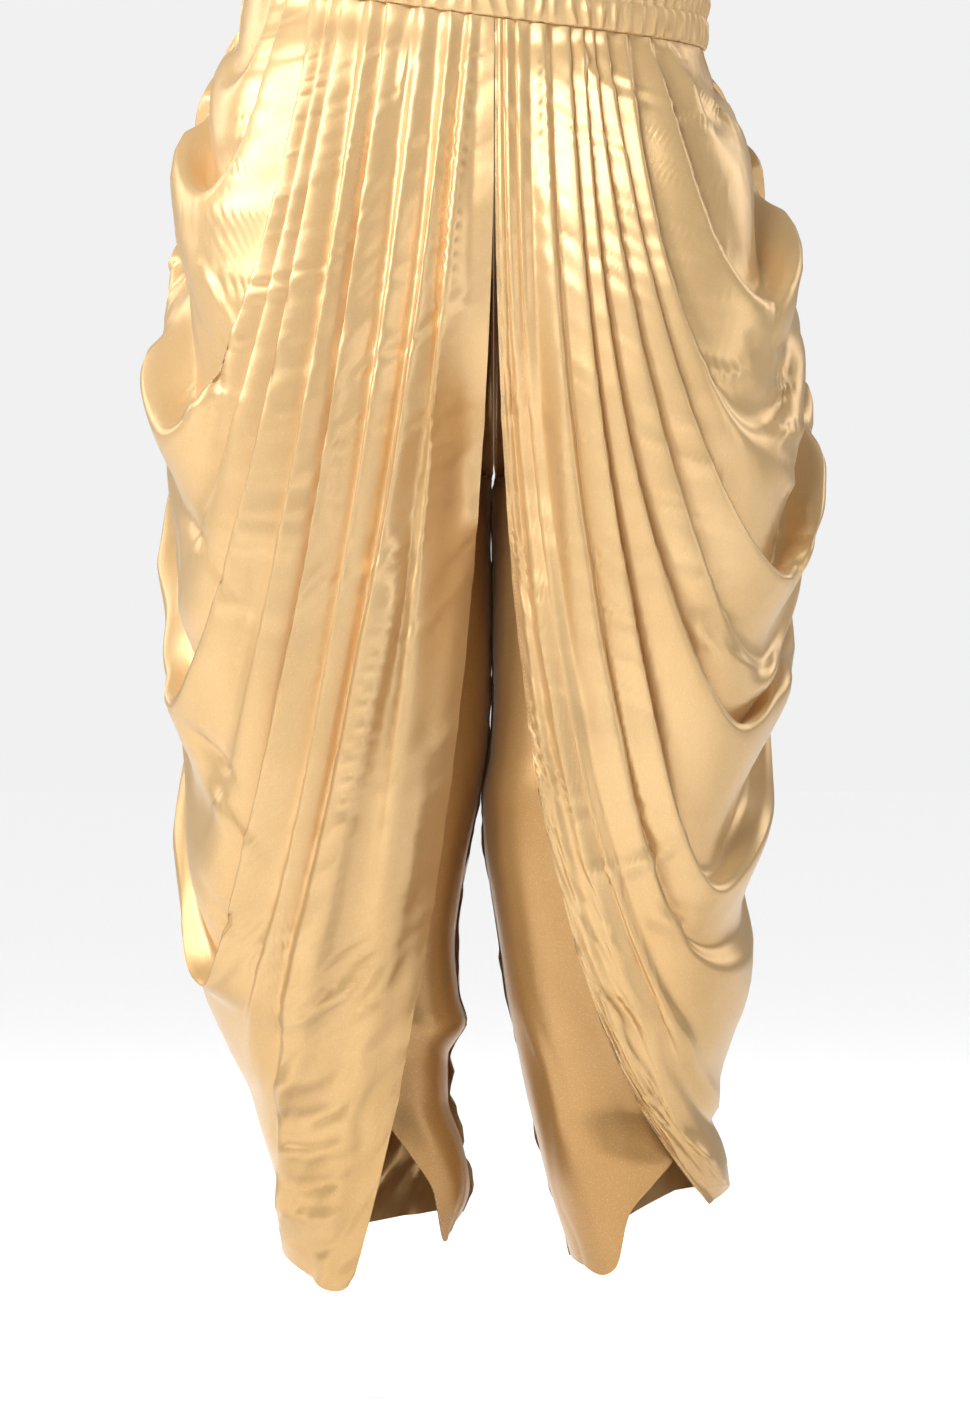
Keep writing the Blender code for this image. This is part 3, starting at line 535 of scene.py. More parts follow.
# %% Soft noise
def noise(u, v, seed):
    """Smooth random heights from -1 to 1, one lattice step for each unit of u and v."""
    lattice = np.random.default_rng(seed).uniform(-1, 1, (256, 256))
    i, j = np.floor(u).astype(int), np.floor(v).astype(int)
    a, b = smoothstep(u - i), smoothstep(v - j)
    i0, i1, j0, j1 = i % 256, (i + 1) % 256, j % 256, (j + 1) % 256
    low = lattice[i0, j0] * (1 - a) + lattice[i1, j0] * a
    high = lattice[i0, j1] * (1 - a) + lattice[i1, j1] * a
    return low * (1 - b) + high * b


def wrinkles(u, v, seed):
    """Long rounded wrinkles of about 1 unit, that come and go."""
    bent = u + 0.8 * noise(u * 0.5, v * 0.7, seed + 1)
    return (1 - 2 * np.abs(noise(bent, v * 0.35, seed))) * (0.55 + 0.45 * noise(u * 0.4, v * 0.5, seed + 2))


# %% [markdown]
# Some creases are seen so clearly that they are placed one by one: the swags that cross each cowl, the
# crumpled cloth over the ankles and the pinch at the outer side. Each row is an arc on the draft with its
# own width and height, a ridge where the height is positive and a trough where it is negative. The back has
# the same creases, moved a little towards the centre.

# %% Placed creases
# Across and down of the arc's start, handle and end, its width, all in units, and its height in mm
RIGHT_CREASES = (
    (165, 250, 195, 300, 222, 385, 7, 2.6),
    (176, 235, 215, 290, 240, 345, 6, -2.0),
    (163, 405, 190, 425, 215, 400, 6, -2.2),
    (163, 510, 184, 560, 160, 640, 6, 3.4),
    (165, 490, 200, 520, 228, 590, 7, 2.4),
    (185, 725, 210, 748, 240, 775, 6, 3.0),
    (195, 745, 212, 800, 262, 862, 7, -2.6),
    (200, 880, 222, 920, 250, 935, 6, 2.6),
    (212, 1010, 250, 1040, 300, 1030, 8, 2.4),
    (240, 1075, 280, 1090, 330, 1070, 8, -2.6),
    (250, 1110, 300, 1128, 350, 1102, 7, 2.8),
    (256, 1140, 300, 1165, 352, 1140, 7, -3.0),
    (264, 1172, 300, 1196, 348, 1176, 6, 2.6),
    (272, 1205, 305, 1228, 345, 1212, 6, -2.4),
    (284, 1238, 312, 1254, 340, 1244, 5, 2.0),
    (402, 1078, 430, 1108, 465, 1155, 5, 2.4),
    (398, 1092, 428, 1130, 462, 1178, 5, -2.4),
    (470, 55, 455, 200, 445, 300, 5, -2.2),
    (413, 25, 408, 60, 400, 110, 4, -1.8),
    (345, 820, 322, 910, 303, 1030, 12, -6.0),
    (400, 550, 380, 660, 345, 820, 12, -6.0),
    (303, 1030, 290, 1090, 265, 1130, 10, -4.0),
    (450, 330, 436, 480, 418, 620, 10, 2.2),
    (380, 905, 362, 1010, 340, 1090, 10, 3.0),
    (425, 760, 410, 880, 380, 1010, 9, -2.4),
    (225, 330, 218, 420, 205, 470, 8, 2.0),
    (262, 560, 250, 640, 232, 700, 8, 2.0),
    (352, 380, 342, 470, 330, 560, 6, 1.6),
)
LEFT_CREASES = (
    (690, 85, 712, 108, 735, 122, 4, 2.2),
    (700, 75, 724, 100, 752, 128, 4, -2.0),
    (702, 370, 724, 386, 750, 372, 6, 2.6),
    (745, 384, 772, 398, 798, 380, 6, 2.6),
    (760, 428, 790, 440, 812, 420, 6, 2.4),
    (742, 345, 770, 352, 800, 340, 5, -2.2),
    (775, 470, 800, 500, 826, 505, 7, 2.8),
    (770, 535, 795, 545, 826, 530, 6, -2.4),
    (757, 690, 770, 668, 773, 650, 6, 2.8),
    (740, 930, 748, 950, 757, 960, 4, -3.0),
    (700, 935, 728, 950, 755, 958, 4, 2.4),
    (705, 985, 732, 975, 756, 962, 4, 2.2),
    (715, 1010, 738, 990, 755, 966, 4, -2.2),
    (590, 868, 640, 872, 680, 833, 7, 2.6),
    (555, 945, 570, 955, 583, 952, 5, 2.4),
    (575, 1062, 594, 1055, 615, 1043, 5, -2.8),
    (530, 700, 545, 820, 555, 940, 6, 2.6),
    (560, 1090, 562, 1140, 570, 1190, 6, 2.0),
    (580, 1100, 582, 1150, 588, 1200, 5, -2.2),
    (600, 1150, 592, 1185, 575, 1200, 6, 2.2),
    (655, 1010, 690, 1040, 735, 1040, 7, 2.4),
    (665, 1060, 700, 1080, 725, 1078, 7, -2.6),
    (672, 1110, 700, 1128, 722, 1120, 6, 2.8),
    (690, 1150, 706, 1160, 726, 1156, 5, 2.4),
    (543, 40, 540, 120, 545, 200, 5, -2.0),
    (575, 42, 582, 62, 590, 84, 4, 2.2),
    (610, 640, 622, 740, 650, 830, 9, 2.2),
    (560, 420, 566, 560, 580, 690, 8, 2.0),
    (690, 620, 716, 660, 745, 668, 7, 2.2),
    (640, 905, 676, 930, 712, 925, 8, 2.2),
)
BACK_SHIFT = 18.0  # units that the back's creases stand nearer the centre
CREASE_STRENGTH = 1.5
CREASE_STEPS = 17
CREASE_ENDS = 0.08  # how much of its arch a crease's height has left off at each end
CREASE_REACH = (120, 260)  # units across and down, past which a crease isn't felt


def crease_height(creases, across, down):
    """How far placed creases raise the cloth at draft positions, in metres."""
    total = np.zeros_like(across)
    q = np.linspace(0, 1, CREASE_STEPS)
    for x0, d0, x1, d1, x2, d2, width, height in creases:
        px = (1 - q) ** 2 * x0 + 2 * q * (1 - q) * x1 + q * q * x2
        pd = (1 - q) ** 2 * d0 + 2 * q * (1 - q) * d1 + q * q * d2
        near = (np.abs(across - x1) < CREASE_REACH[0]) & (np.abs(down - d1) < CREASE_REACH[1])
        gap = (across[near][:, None] - px) ** 2 + (down[near][:, None] - pd) ** 2
        nearest = np.argmin(gap, axis=1)
        taper = np.sin(np.pi * (CREASE_ENDS + (1 - 2 * CREASE_ENDS) * q[nearest])) ** 0.7
        total[near] += CREASE_STRENGTH * height / 1000 * taper * np.exp(-gap.min(axis=1) / width**2)
    return total


print(len(RIGHT_CREASES) + len(LEFT_CREASES), "placed creases on the front")

# %% [markdown]
# A panel is one sheet of points: many columns for each fold, so that lips are round, and closely spaced
# points down the leg. The wall comes last, from each point's own normal, so both faces follow the folds.

# %% Cloth sheets
CLOTH = 0.0008
PANEL_POINTS = 185
FINE_COLUMNS = {"small": 10, "large": 14}
RELAXING_TURNS = 3


def column_count(first, second):
    return FINE_COLUMNS["small" if max(first["end"], second["end"]) < SMALL_FOLD else "large"]


def fine_grid(leg, rows, face, t):
    lines = [fold_line(leg, row, face) for row in rows]
    room = spacings(leg, lines, face, t)
    columns = []
    for i in range(len(rows) - 1):
        count = column_count(rows[i], rows[i + 1])
        columns += [(i, k / count) for k in range(count)]
    columns.append((len(rows) - 2, 1.0))
    return np.stack([cloth_column(leg, rows, lines, room, i, phase, face, t) for i, phase in columns])


def sheet_normals(grid):
    return unit(np.cross(np.gradient(grid, axis=0), np.gradient(grid, axis=1)))


def smoothed(grid, times):
    """Relaxes a sheet a little, its edges held."""
    for _ in range(times):
        inner = (grid[:-2, 1:-1] + grid[2:, 1:-1] + grid[1:-1, :-2] + grid[1:-1, 2:]) / 4
        grid[1:-1, 1:-1] += 0.5 * (inner - grid[1:-1, 1:-1])
    return grid


def wall(name, grid, normals, thickness=CLOTH):
    """A closed cloth wall with a UV map in metres of cloth."""
    columns, rows = grid.shape[:2]
    outer_face, inner_face = grid + normals * thickness / 2, grid - normals * thickness / 2
    points = np.concatenate([outer_face.reshape(-1, 3), inner_face.reshape(-1, 3)])
    under = columns * rows
    c, r = np.meshgrid(np.arange(columns - 1), np.arange(rows - 1), indexing="ij")
    a = (c * rows + r).ravel()
    quads = np.stack([a, a + rows, a + rows + 1, a + 1], axis=1)
    faces = np.concatenate([quads, quads[:, ::-1] + under])
    rim = [k * rows for k in range(columns)] + [(columns - 1) * rows + k for k in range(1, rows)]
    rim += [k * rows + rows - 1 for k in range(columns - 2, -1, -1)] + list(range(rows - 2, 0, -1))
    rim = np.array(rim)
    after = np.roll(rim, -1)
    faces = np.concatenate([faces, np.stack([after, rim, rim + under, after + under], axis=1)])
    across_steps = np.linalg.norm(np.diff(grid, axis=0), axis=2).mean(axis=1)
    down_steps = np.linalg.norm(np.diff(grid, axis=1), axis=2).mean(axis=0)
    across_cloth = np.concatenate([[0], np.cumsum(across_steps)])
    down_cloth = np.concatenate([[0], np.cumsum(down_steps)])
    uv = np.stack(np.broadcast_arrays(across_cloth[:, None], down_cloth[None, :]), axis=-1).reshape(-1, 2)
    shading = np.concatenate([normals.reshape(-1, 3), -normals.reshape(-1, 3)])
    return make_mesh(name, points, faces, np.concatenate([uv, uv]), shading)


def make_mesh(name, points, faces, uv, shading=None):
    """A smooth mesh in the scene, with a UV map and, where given, each point's own normal."""
    mesh = bpy.data.meshes.new(name)
    mesh.from_pydata(points.tolist(), [], faces.tolist())
    layer = mesh.uv_layers.new(name="Cloth")
    layer.data.foreach_set("uv", uv[faces.ravel()].ravel())
    mesh.shade_smooth()
    mesh.update()
    if shading is not None:
        mesh.normals_split_custom_set_from_vertices(shading.tolist())
    obj = bpy.data.objects.new(name, mesh)
    bpy.context.scene.collection.objects.link(obj)
    print(name, len(faces) * 2, "triangles")
    return obj


# %% [markdown]
# The front and back panels meet along the outer side, where the cowls pass from one to the other. Both are
# made at once and rounded as one strip, so their last points there are the same but for a hair's gap.

# %% Legs
SIDE_ROUNDING = 34  # points either side of the outer side over which the turn is rounded
SIDE_TURNS = 110
SIDE_FREE_TURNS = 12  # after these, the rounding moves points little but up and down
SIDE_HOLD = np.array([0.15, 0.15, 1.0])
HAIR_GAP = 0.00005
TIP_RADIUS = 0.028
UNDER_TIP_RADIUS = 0.022
# Height in metres, then length across and down the cloth of the broad and the fine wrinkles
BROAD_WRINKLES = (0.0011, 0.020, 0.030)
FINE_WRINKLES = (0.0006, 0.009, 0.016)
UNDER_WRINKLES = (0.0015, 0.022, 0.05)
ANKLE_CRUMPLING = 2.6  # how much stronger the wrinkles grow towards the ankles
CROTCH_HEIGHT = -0.405


def cloth_lengths(grid):
    """Each point's distance along the cloth, from the sheet's first column and from its top."""
    u = np.cumsum(np.linalg.norm(np.diff(grid, axis=0, prepend=grid[:1]), axis=2), axis=0)
    v = np.cumsum(np.linalg.norm(np.diff(grid, axis=1, prepend=grid[:, :1]), axis=2), axis=1)
    return u, v


def wrinkle_height(u, v, sizes, seed):
    height, across_size, down_size = sizes
    return height * wrinkles(u / across_size, v / down_size, seed)


def dressed(leg, face, t, seed):
    """A front or back panel's sheet with its wrinkles, placed creases and rounded tip."""
    rows = front_rows(leg) if face < 0 else back_rows(leg)
    grid = fine_grid(leg, rows, face, t)
    grid = smoothed(grid, RELAXING_TURNS)
    normals = sheet_normals(grid)
    across = grid[..., 0] / UNIT + ORIGIN_ACROSS
    down = -grid[..., 2] / UNIT + ORIGIN_DOWN
    creases = RIGHT_CREASES if leg["side"] < 0 else LEFT_CREASES
    if face > 0:
        across = across + leg["side"] * BACK_SHIFT
    raised = crease_height(creases, across, down)
    u, v = cloth_lengths(grid)
    fade = rising(t, 0, 0.04) * rising(t, 1, 0.97)
    low = 1 + ANKLE_CRUMPLING * rising(down, 850, 1100)
    buckled = wrinkle_height(u, v, BROAD_WRINKLES, seed) + wrinkle_height(u, v, FINE_WRINKLES, seed + 7)
    raised = raised + low * buckled
    grid = grid + normals * (raised * fade)[..., None]
    return rounded_tip(grid, TIP_RADIUS) if face < 0 else grid


def rounded_tip(grid, radius):
    """The sheet with its last corner rounded: the lines near the free edge end that much sooner."""
    steps = np.linalg.norm(np.diff(grid[:, -1], axis=0), axis=1)
    from_edge = np.concatenate([[0], np.cumsum(steps[::-1])])[::-1]
    inward = np.clip(1 - from_edge / radius, 0, 1)
    shorter = radius * (1 - np.sqrt(1 - inward**2))
    places = np.arange(grid.shape[1])
    for column in np.flatnonzero(shorter):
        length = np.linalg.norm(np.diff(grid[column], axis=0), axis=1).sum()
        reach = places * (1 - shorter[column] / length)
        line = [np.interp(reach, places, grid[column, :, axis]) for axis in range(3)]
        grid[column] = np.stack(line, axis=-1)
    return grid


def joined_at_side(front, back):
    """Both panels' shared columns as one strip, front to back, rounded at the side like hung cloth."""
    seam = (front[:, -1:] + back[:, -1:]) / 2
    strip = np.concatenate([front[:, :-1], seam, back[:, :-1][:, ::-1]], axis=1)
    steps = np.abs(np.arange(strip.shape[1]) - (PANEL_POINTS - 1))
    window = (1 - rising(steps, 0, SIDE_ROUNDING))[1:-1, None]
    for turn in range(SIDE_TURNS):
        pull = (strip[:, :-2] + strip[:, 2:]) / 2 - strip[:, 1:-1]
        if turn > SIDE_FREE_TURNS:
            pull = pull * SIDE_HOLD
        strip[:, 1:-1] += 0.8 * window * pull
    return strip


def under_sheet(leg, seed):
    grid = under_grid(leg)
    u, v = cloth_lengths(grid)
    hold = rising(np.linspace(0, 1, grid.shape[0]), 0, 0.1)[:, None]
    raised = wrinkle_height(u, v, UNDER_WRINKLES, seed) * hold
    return rounded_tip(grid + sheet_normals(grid) * raised[..., None], UNDER_TIP_RADIUS)


def facing_like(normals, other):
    """1 where two sets of normals face the same way on the whole, -1 otherwise."""
    return np.sign(np.sum(normals * other))


def build_leg(leg, word, seed):
    """A leg's three panels: each one's object, sheet of points, normals and the solid that it stands for."""
    t = np.linspace(0, 1, PANEL_POINTS)
    front, back = dressed(leg, -1, t, seed), dressed(leg, 1, t, seed + 20)
    rows = front_rows(leg)
    reaching = [(row, after) for row, after in zip(rows, rows[1:]) if after["end_across"] is SIDE]
    shared = 1 + sum(column_count(row, after) for row, after in reaching)
    strip = joined_at_side(front[:shared], back[:shared])
    front[:shared] = strip[:, :PANEL_POINTS]
    back[:shared] = strip[:, PANEL_POINTS - 1 :][:, ::-1]
    front_normals, back_normals = sheet_normals(front), sheet_normals(back)
    turned = sheet_normals(strip)
    clear = slice(20, 60)  # points well away from the band and the side
    turned *= facing_like(turned[:, clear], front_normals[:shared, clear])
    front_normals[:shared] = turned[:, :PANEL_POINTS]
    mirrored = turned[:, PANEL_POINTS - 1 :][:, ::-1]
    back_normals[:shared] = mirrored * facing_like(mirrored[:, clear], back_normals[:shared, clear])
    for grid, normals, face in ((front, front_normals, -1), (back, back_normals, 1)):
        grid[:shared, -1, 1] += face * HAIR_GAP
        normals[:, 0] = unit(normals[:, 0] * np.array([1, 1, 0]))
    above_crotch = rising(back[-1, :, 2], CROTCH_HEIGHT, CROTCH_HEIGHT + 0.02)
    seam_at = (MIDLINE - ORIGIN_ACROSS) * UNIT + leg["side"] * HAIR_GAP
    back[-1, :, 0] += (seam_at - back[-1, :, 0]) * above_crotch
    straight = back_normals[-1] * np.array([0, 1, 1])
    back_normals[-1] = unit(back_normals[-1] + (straight - back_normals[-1]) * above_crotch[:, None])
    back[-1, :, 1] += SEAM_GAP / 2
    under = under_sheet(leg, seed + 40)
    sheets = {
        "front": (front, front_normals),
        "back": (back, back_normals),
        "under": (under, sheet_normals(under)),
    }
    made = {}
    for kind, (grid, normals) in sheets.items():
        name = f"{word}_{kind}_panel"
        made[kind] = (wall(name + "_cloth", grid, normals), grid, normals, name)
    return made


made_legs = {
    "right": build_leg(RIGHT_LEG, "right", 11),
    "left": build_leg(LEFT_LEG, "left", 75),
}

# %% [markdown]
# The waistband is a casing of the same satin with elastic in two channels. The elastic pulls the cloth into
# close, uneven gathers that start and end at the lines of stitching.

# %% Waistband
BAND_COLUMNS_EACH = 11
BAND_LEVELS = 34
GATHER_DEPTH = 0.0044
GATHER_AT_STITCHES = 0.30  # the share of a gather's depth that the stitching leaves
GATHER_WANDER = 1.6  # radians that gathers stray from even spacing
PUFF = 0.0013  # how far a channel stands out between its lines of stitching
CHANNELS = 2
EDGE_ROUGHNESS = 0.0005
# The lining's levels: share of the band's height, then share of its half wall
LINING = ((1.0, 0.3), (0.985, 1.0), (0.5, 1.0), (0.0, 1.0))
BAND_RADIUS = 0.15
LEVEL_STEP = 0.0016


def band_cloth():
    """The band as one closed tube of cloth: its gathered outer face, then its smooth lining."""
    count = BAND_GATHERS * BAND_COLUMNS_EACH
    turn = np.arange(count) / count * 2 * np.pi
    across = ORIGIN_ACROSS + WAIST_HALF_WIDTH * np.sin(turn)
    sag = np.cos(turn) * np.abs(np.cos(turn))
    deepest = np.where(sag > 0, BAND_SAG_FRONT, -BAND_SAG_BACK)
    down = BAND_EDGE_DOWN + WAIST_TILT * (across - ORIGIN_ACROSS) + deepest * sag
    bottom = -(down - ORIGIN_DOWN) * UNIT
    ring = np.stack([np.sin(turn), -np.cos(turn), 0 * turn], axis=-1)
    half = np.array([WAIST_HALF_WIDTH * UNIT, WAIST_HALF_DEPTH, 1.0])
    size = ring * half
    loops = []
    for share in np.linspace(0, 1, BAND_LEVELS):
        channel = np.abs(np.sin(CHANNELS * np.pi * share)) ** 0.55
        stray = GATHER_WANDER * noise(turn * 9 / np.pi * 4, share * 3 + 0 * turn, 5)
        place = BAND_GATHERS * turn + stray + 0.5 * np.sin(CHANNELS * np.pi * share)
        strength = 0.65 + 0.35 * noise(turn * 14 / np.pi * 4, share * 4 + 0 * turn, 6)
        wave = 1 - np.abs(np.sin(place / 2)) ** 0.9
        gathered = GATHER_AT_STITCHES + (1 - GATHER_AT_STITCHES) * channel
        out = BAND_WALL / 2 + SEAM_GAP + gathered * GATHER_DEPTH * wave * strength + PUFF * channel
        loop = size + ring * out[:, None]
        rough = EDGE_ROUGHNESS * noise(turn * 60, 0 * turn, 8) * (share == 0)
        loop[:, 2] = bottom + share * BAND_HEIGHT + rough
        loops.append(loop)
    for share, inset in LINING:
        loop = size - ring * (BAND_WALL / 2 * inset)
        loop[:, 2] = bottom + share * BAND_HEIGHT
        loops.append(loop)
    grid = np.stack(loops)
    levels = len(loops)
    k, c = np.meshgrid(np.arange(levels), np.arange(count), indexing="ij")
    above, beside = (k + 1) % levels, (c + 1) % count
    corners = [k * count + c, k * count + beside, above * count + beside, above * count + c]
    faces = np.stack(corners, axis=-1).reshape(-1, 4)
    length = 2 * np.pi * BAND_RADIUS * c / count
    uv = np.stack([length, k * LEVEL_STEP], axis=-1).reshape(-1, 2)
    return make_mesh("waistband_cloth", grid.reshape(-1, 3), faces, uv), grid


waistband, band_grid = band_cloth()

# %% [markdown]
# The stitching repeats along paths, so Geometry Nodes lay it: the path is resampled by the stitch's pitch, a
# small rounded thread is set on every point along the path's direction, and the result is made real.

# %% Stitches
STITCH_PITCH = 0.0034
STITCH_LENGTH = 0.0022
STITCH_WIDTH = 0.0005


def stitch_tree(material):
    """Geometry Nodes that lay a stitch along a path at every pitch."""
    tree = bpy.data.node_groups.new("stitch_rows", "GeometryNodeTree")
    face = tree.interface
    face.new_socket("Geometry", in_out="INPUT", socket_type="NodeSocketGeometry")
    for label in ("Pitch", "Length", "Width"):
        face.new_socket(label, in_out="INPUT", socket_type="NodeSocketFloat")
    face.new_socket("Geometry", in_out="OUTPUT", socket_type="NodeSocketGeometry")
    made = {}
    for key, kind in (
        ("in", "NodeGroupInput"), ("out", "NodeGroupOutput"), ("curve", "GeometryNodeMeshToCurve"),
        ("points", "GeometryNodeCurveToPoints"), ("thread", "GeometryNodeMeshIcoSphere"),
        ("size", "ShaderNodeCombineXYZ"), ("lay", "GeometryNodeInstanceOnPoints"),
        ("real", "GeometryNodeRealizeInstances"), ("dye", "GeometryNodeSetMaterial"),
    ):
        made[key] = tree.nodes.new(kind)
    made["points"].mode = "LENGTH"
    made["thread"].inputs["Radius"].default_value = 0.5
    made["thread"].inputs["Subdivisions"].default_value = 1
    made["dye"].inputs["Material"].default_value = material
    link = tree.links.new
    link(made["in"].outputs["Geometry"], made["curve"].inputs[0])
    link(made["curve"].outputs[0], made["points"].inputs["Curve"])
    link(made["in"].outputs["Pitch"], made["points"].inputs["Length"])
    link(made["in"].outputs["Width"], made["size"].inputs["X"])
    link(made["in"].outputs["Width"], made["size"].inputs["Y"])
    link(made["in"].outputs["Length"], made["size"].inputs["Z"])
    link(made["points"].outputs["Points"], made["lay"].inputs["Points"])
    link(made["points"].outputs["Rotation"], made["lay"].inputs["Rotation"])
    link(made["thread"].outputs["Mesh"], made["lay"].inputs["Instance"])
    link(made["size"].outputs[0], made["lay"].inputs["Scale"])
    link(made["lay"].outputs["Instances"], made["real"].inputs[0])
    link(made["real"].outputs[0], made["dye"].inputs["Geometry"])
    link(made["dye"].outputs[0], made["out"].inputs[0])
    return tree


def stitch_row(name, paths, tree):
    """One mesh of stitches along several paths of points."""
    points, edges = [], []
    start = 0
    for path in paths:
        points += path.tolist()
        edges += [(start + k, start + k + 1) for k in range(len(path) - 1)]
        start += len(path)
    mesh = bpy.data.meshes.new(name + "_path")
    mesh.from_pydata(points, edges, [])
    holder = bpy.data.objects.new(name + "_path", mesh)
    bpy.context.scene.collection.objects.link(holder)
    modifier = holder.modifiers.new("stitches", "NODES")
    modifier.node_group = tree
    sizes = {"Pitch": STITCH_PITCH, "Length": STITCH_LENGTH, "Width": STITCH_WIDTH}
    for item in tree.interface.items_tree:
        if item.item_type == "SOCKET" and item.in_out == "INPUT" and item.name in sizes:
            modifier[item.identifier] = sizes[item.name]
    bpy.context.view_layer.update()
    graph = bpy.context.evaluated_depsgraph_get()
    real = bpy.data.meshes.new_from_object(holder.evaluated_get(graph))
    real.name = name
    bpy.data.objects.remove(holder, do_unlink=True)
    real.shade_smooth()
    piece = bpy.data.objects.new(name, real)
    bpy.context.scene.collection.objects.link(piece)
    print(name, len(real.polygons), "faces")
    return piece


# %% [markdown]
# Satin's long floats of shiny thread give broad soft highlights and a warm edge where the cloth turns away,
# and its fine sparkle is painted into the colour as pale glints. One small class lets the shader's
# arithmetic be written as ordinary expressions.

# %% Shader helper
class Sock:
    """A shader socket that takes part in arithmetic."""

    def __init__(self, tree, out):
        self.tree, self.out = tree, out

    def node(self, kind, settings=None, output=0, **values):
        """A new node. A socket goes by its name, with _ for a space, or by i and its number."""
        made = self.tree.nodes.new(kind)
        for key, value in (settings or {}).items():
            if key == "stops":
                ramp = made.color_ramp
                for k, (place, colour) in enumerate(value):
                    stop = ramp.elements[k] if k < 2 else ramp.elements.new(place)
                    stop.position, stop.color = place, colour
            else:
                setattr(made, key, value)
        for key, value in values.items():
            numbered = key[0] == "i" and key[1:].isdigit()
            socket = made.inputs[int(key[1:]) if numbered else key.replace("_", " ")]
            if isinstance(value, Sock):
                self.tree.links.new(value.out, socket)
            else:
                socket.default_value = value
        return Sock(self.tree, made.outputs[output])

    def math(self, operation, other=0.0, swap=False):
        first, second = (other, self) if swap else (self, other)
        return self.node("ShaderNodeMath", {"operation": operation}, i0=first, i1=second)

    def __add__(self, other):
        return self.math("ADD", other)

    def __mul__(self, other):
        return self.math("MULTIPLY", other)

    def __sub__(self, other):
        return self.math("SUBTRACT", other)

    def __rsub__(self, other):
        return self.math("SUBTRACT", other, swap=True)

    __radd__, __rmul__ = __add__, __mul__

    def mixed(self, first, second):
        """A colour between two others, this socket deciding how much."""
        settings = {"data_type": "RGBA", "clamp_factor": True}
        return self.node("ShaderNodeMix", settings, output=2, i0=self, i6=first, i7=second)

    def rescaled(self, start, end, most=1.0, **settings):
        """0 where this socket is at start, rising to most at end."""
        return self.node("ShaderNodeMapRange", settings, i0=self, i1=start, i2=end, i3=0.0, i4=most)


# %% Satin
CHAMPAGNE = (0.74, 0.495, 0.235, 1)
GOLD = (0.62, 0.365, 0.130, 1)
# Darker golds for the under panels: painted shade where they lie beneath the front panels.
PAINTED_SHADE_GOLD = (0.56, 0.33, 0.125, 1)
PAINTED_SHADE_DEEP_GOLD = (0.46, 0.235, 0.065, 1)
PAINTED_GLINT = (0.98, 0.86, 0.64, 1)
PAINTED_SHADE_HEIGHTS = (-0.45, -1.02)  # heights over which painted shade deepens the gold towards the hems
THREADS_PER_METRE = 2600.0
FLOATS_PER_METRE = 160.0
PAINTED_GLINTS_PER_METRE = 1400.0
WEAVE_RELIEF = 0.0004


def satin(name, light, deep, roughness=0.36, weave=0.22):
    """Satin whose tone clouds over and is deepened downwards by painted shade, with painted glints and a
    weave of long floats in both directions.
    """
    material = bpy.data.materials.new(name)
    material.use_nodes = True
    tree = material.node_tree
    shader = tree.nodes["Principled BSDF"]
    where = Sock(tree, tree.nodes.new("ShaderNodeTexCoord").outputs["Object"])
    cloth = Sock(tree, tree.nodes.new("ShaderNodeUVMap").outputs[0])
    height = where.node("ShaderNodeSeparateXYZ", output=2, i0=where)
    # Painted shade: the colour grows a deeper gold lower down, towards the hems.
    lower = height.rescaled(*PAINTED_SHADE_HEIGHTS, interpolation_type="SMOOTHSTEP")
    cloudy = where.node("ShaderNodeTexNoise", i2=9.0, i3=3.0, Vector=where)
    threads_at = cloth.node("ShaderNodeMapping", i0=cloth, i3=(THREADS_PER_METRE, FLOATS_PER_METRE, 1.0))
    cross_at = cloth.node("ShaderNodeMapping", i0=cloth, i3=(FLOATS_PER_METRE, THREADS_PER_METRE, 1.0))
    threads = cloth.node("ShaderNodeTexNoise", Vector=threads_at, Scale=1.0, Detail=2.0)
    crossing = cloth.node("ShaderNodeTexNoise", Vector=cross_at, Scale=1.0, Detail=2.0)
    painted_glints = cloth.node("ShaderNodeTexNoise", Vector=where, Scale=PAINTED_GLINTS_PER_METRE, Detail=1.0)
    tone = 0.15 + lower * 0.5 + (cloudy - 0.5) * 0.9 + (threads - 0.5) * 0.5 + (crossing - 0.5) * 0.35
    colour = tone.mixed(light, deep)
    # Painted glints: pale highlight specks mixed into the base colour.
    colour = painted_glints.rescaled(0.60, 0.78, most=0.35).mixed(colour, PAINTED_GLINT)
    tree.links.new(colour.out, shader.inputs["Base Color"])
    rough = roughness + (threads - 0.5) * 0.16 + (cloudy - 0.5) * 0.12
    tree.links.new(rough.out, shader.inputs["Roughness"])
    relief = threads * 0.6 + crossing * 0.4
    bump = relief.node("ShaderNodeBump", Strength=weave, Distance=WEAVE_RELIEF, Height=relief)
    tree.links.new(bump.out, shader.inputs["Normal"])
    shader.inputs["Metallic"].default_value = 0.35
    shader.inputs["Sheen Weight"].default_value = 0.30
    shader.inputs["Sheen Roughness"].default_value = 0.35
    shader.inputs["Sheen Tint"].default_value = (1.0, 0.88, 0.68, 1)
    return material


satin_cloth = satin("champagne_satin", CHAMPAGNE, GOLD)
# The under panels are the same satin painted darker, as painted shade beneath the front panels.
painted_shade_cloth = satin("painted_shade_satin", PAINTED_SHADE_GOLD, PAINTED_SHADE_DEEP_GOLD)
band_satin = satin("ruched_satin", CHAMPAGNE, GOLD, roughness=0.44, weave=0.35)


THREAD_DARK = (0.66, 0.46, 0.22, 1)
THREAD_LIGHT = (0.93, 0.76, 0.48, 1)


def thread_material():
    material = bpy.data.materials.new("gold_thread")
    material.use_nodes = True
    tree = material.node_tree
    shader = tree.nodes["Principled BSDF"]
    where = Sock(tree, tree.nodes.new("ShaderNodeTexCoord").outputs["Object"])
    twist = where.node("ShaderNodeTexNoise", Vector=where, Scale=900.0)
    colour = twist.mixed(THREAD_DARK, THREAD_LIGHT)
    tree.links.new(colour.out, shader.inputs["Base Color"])
    shader.inputs["Roughness"].default_value = 0.5
    return material


thread = thread_material()

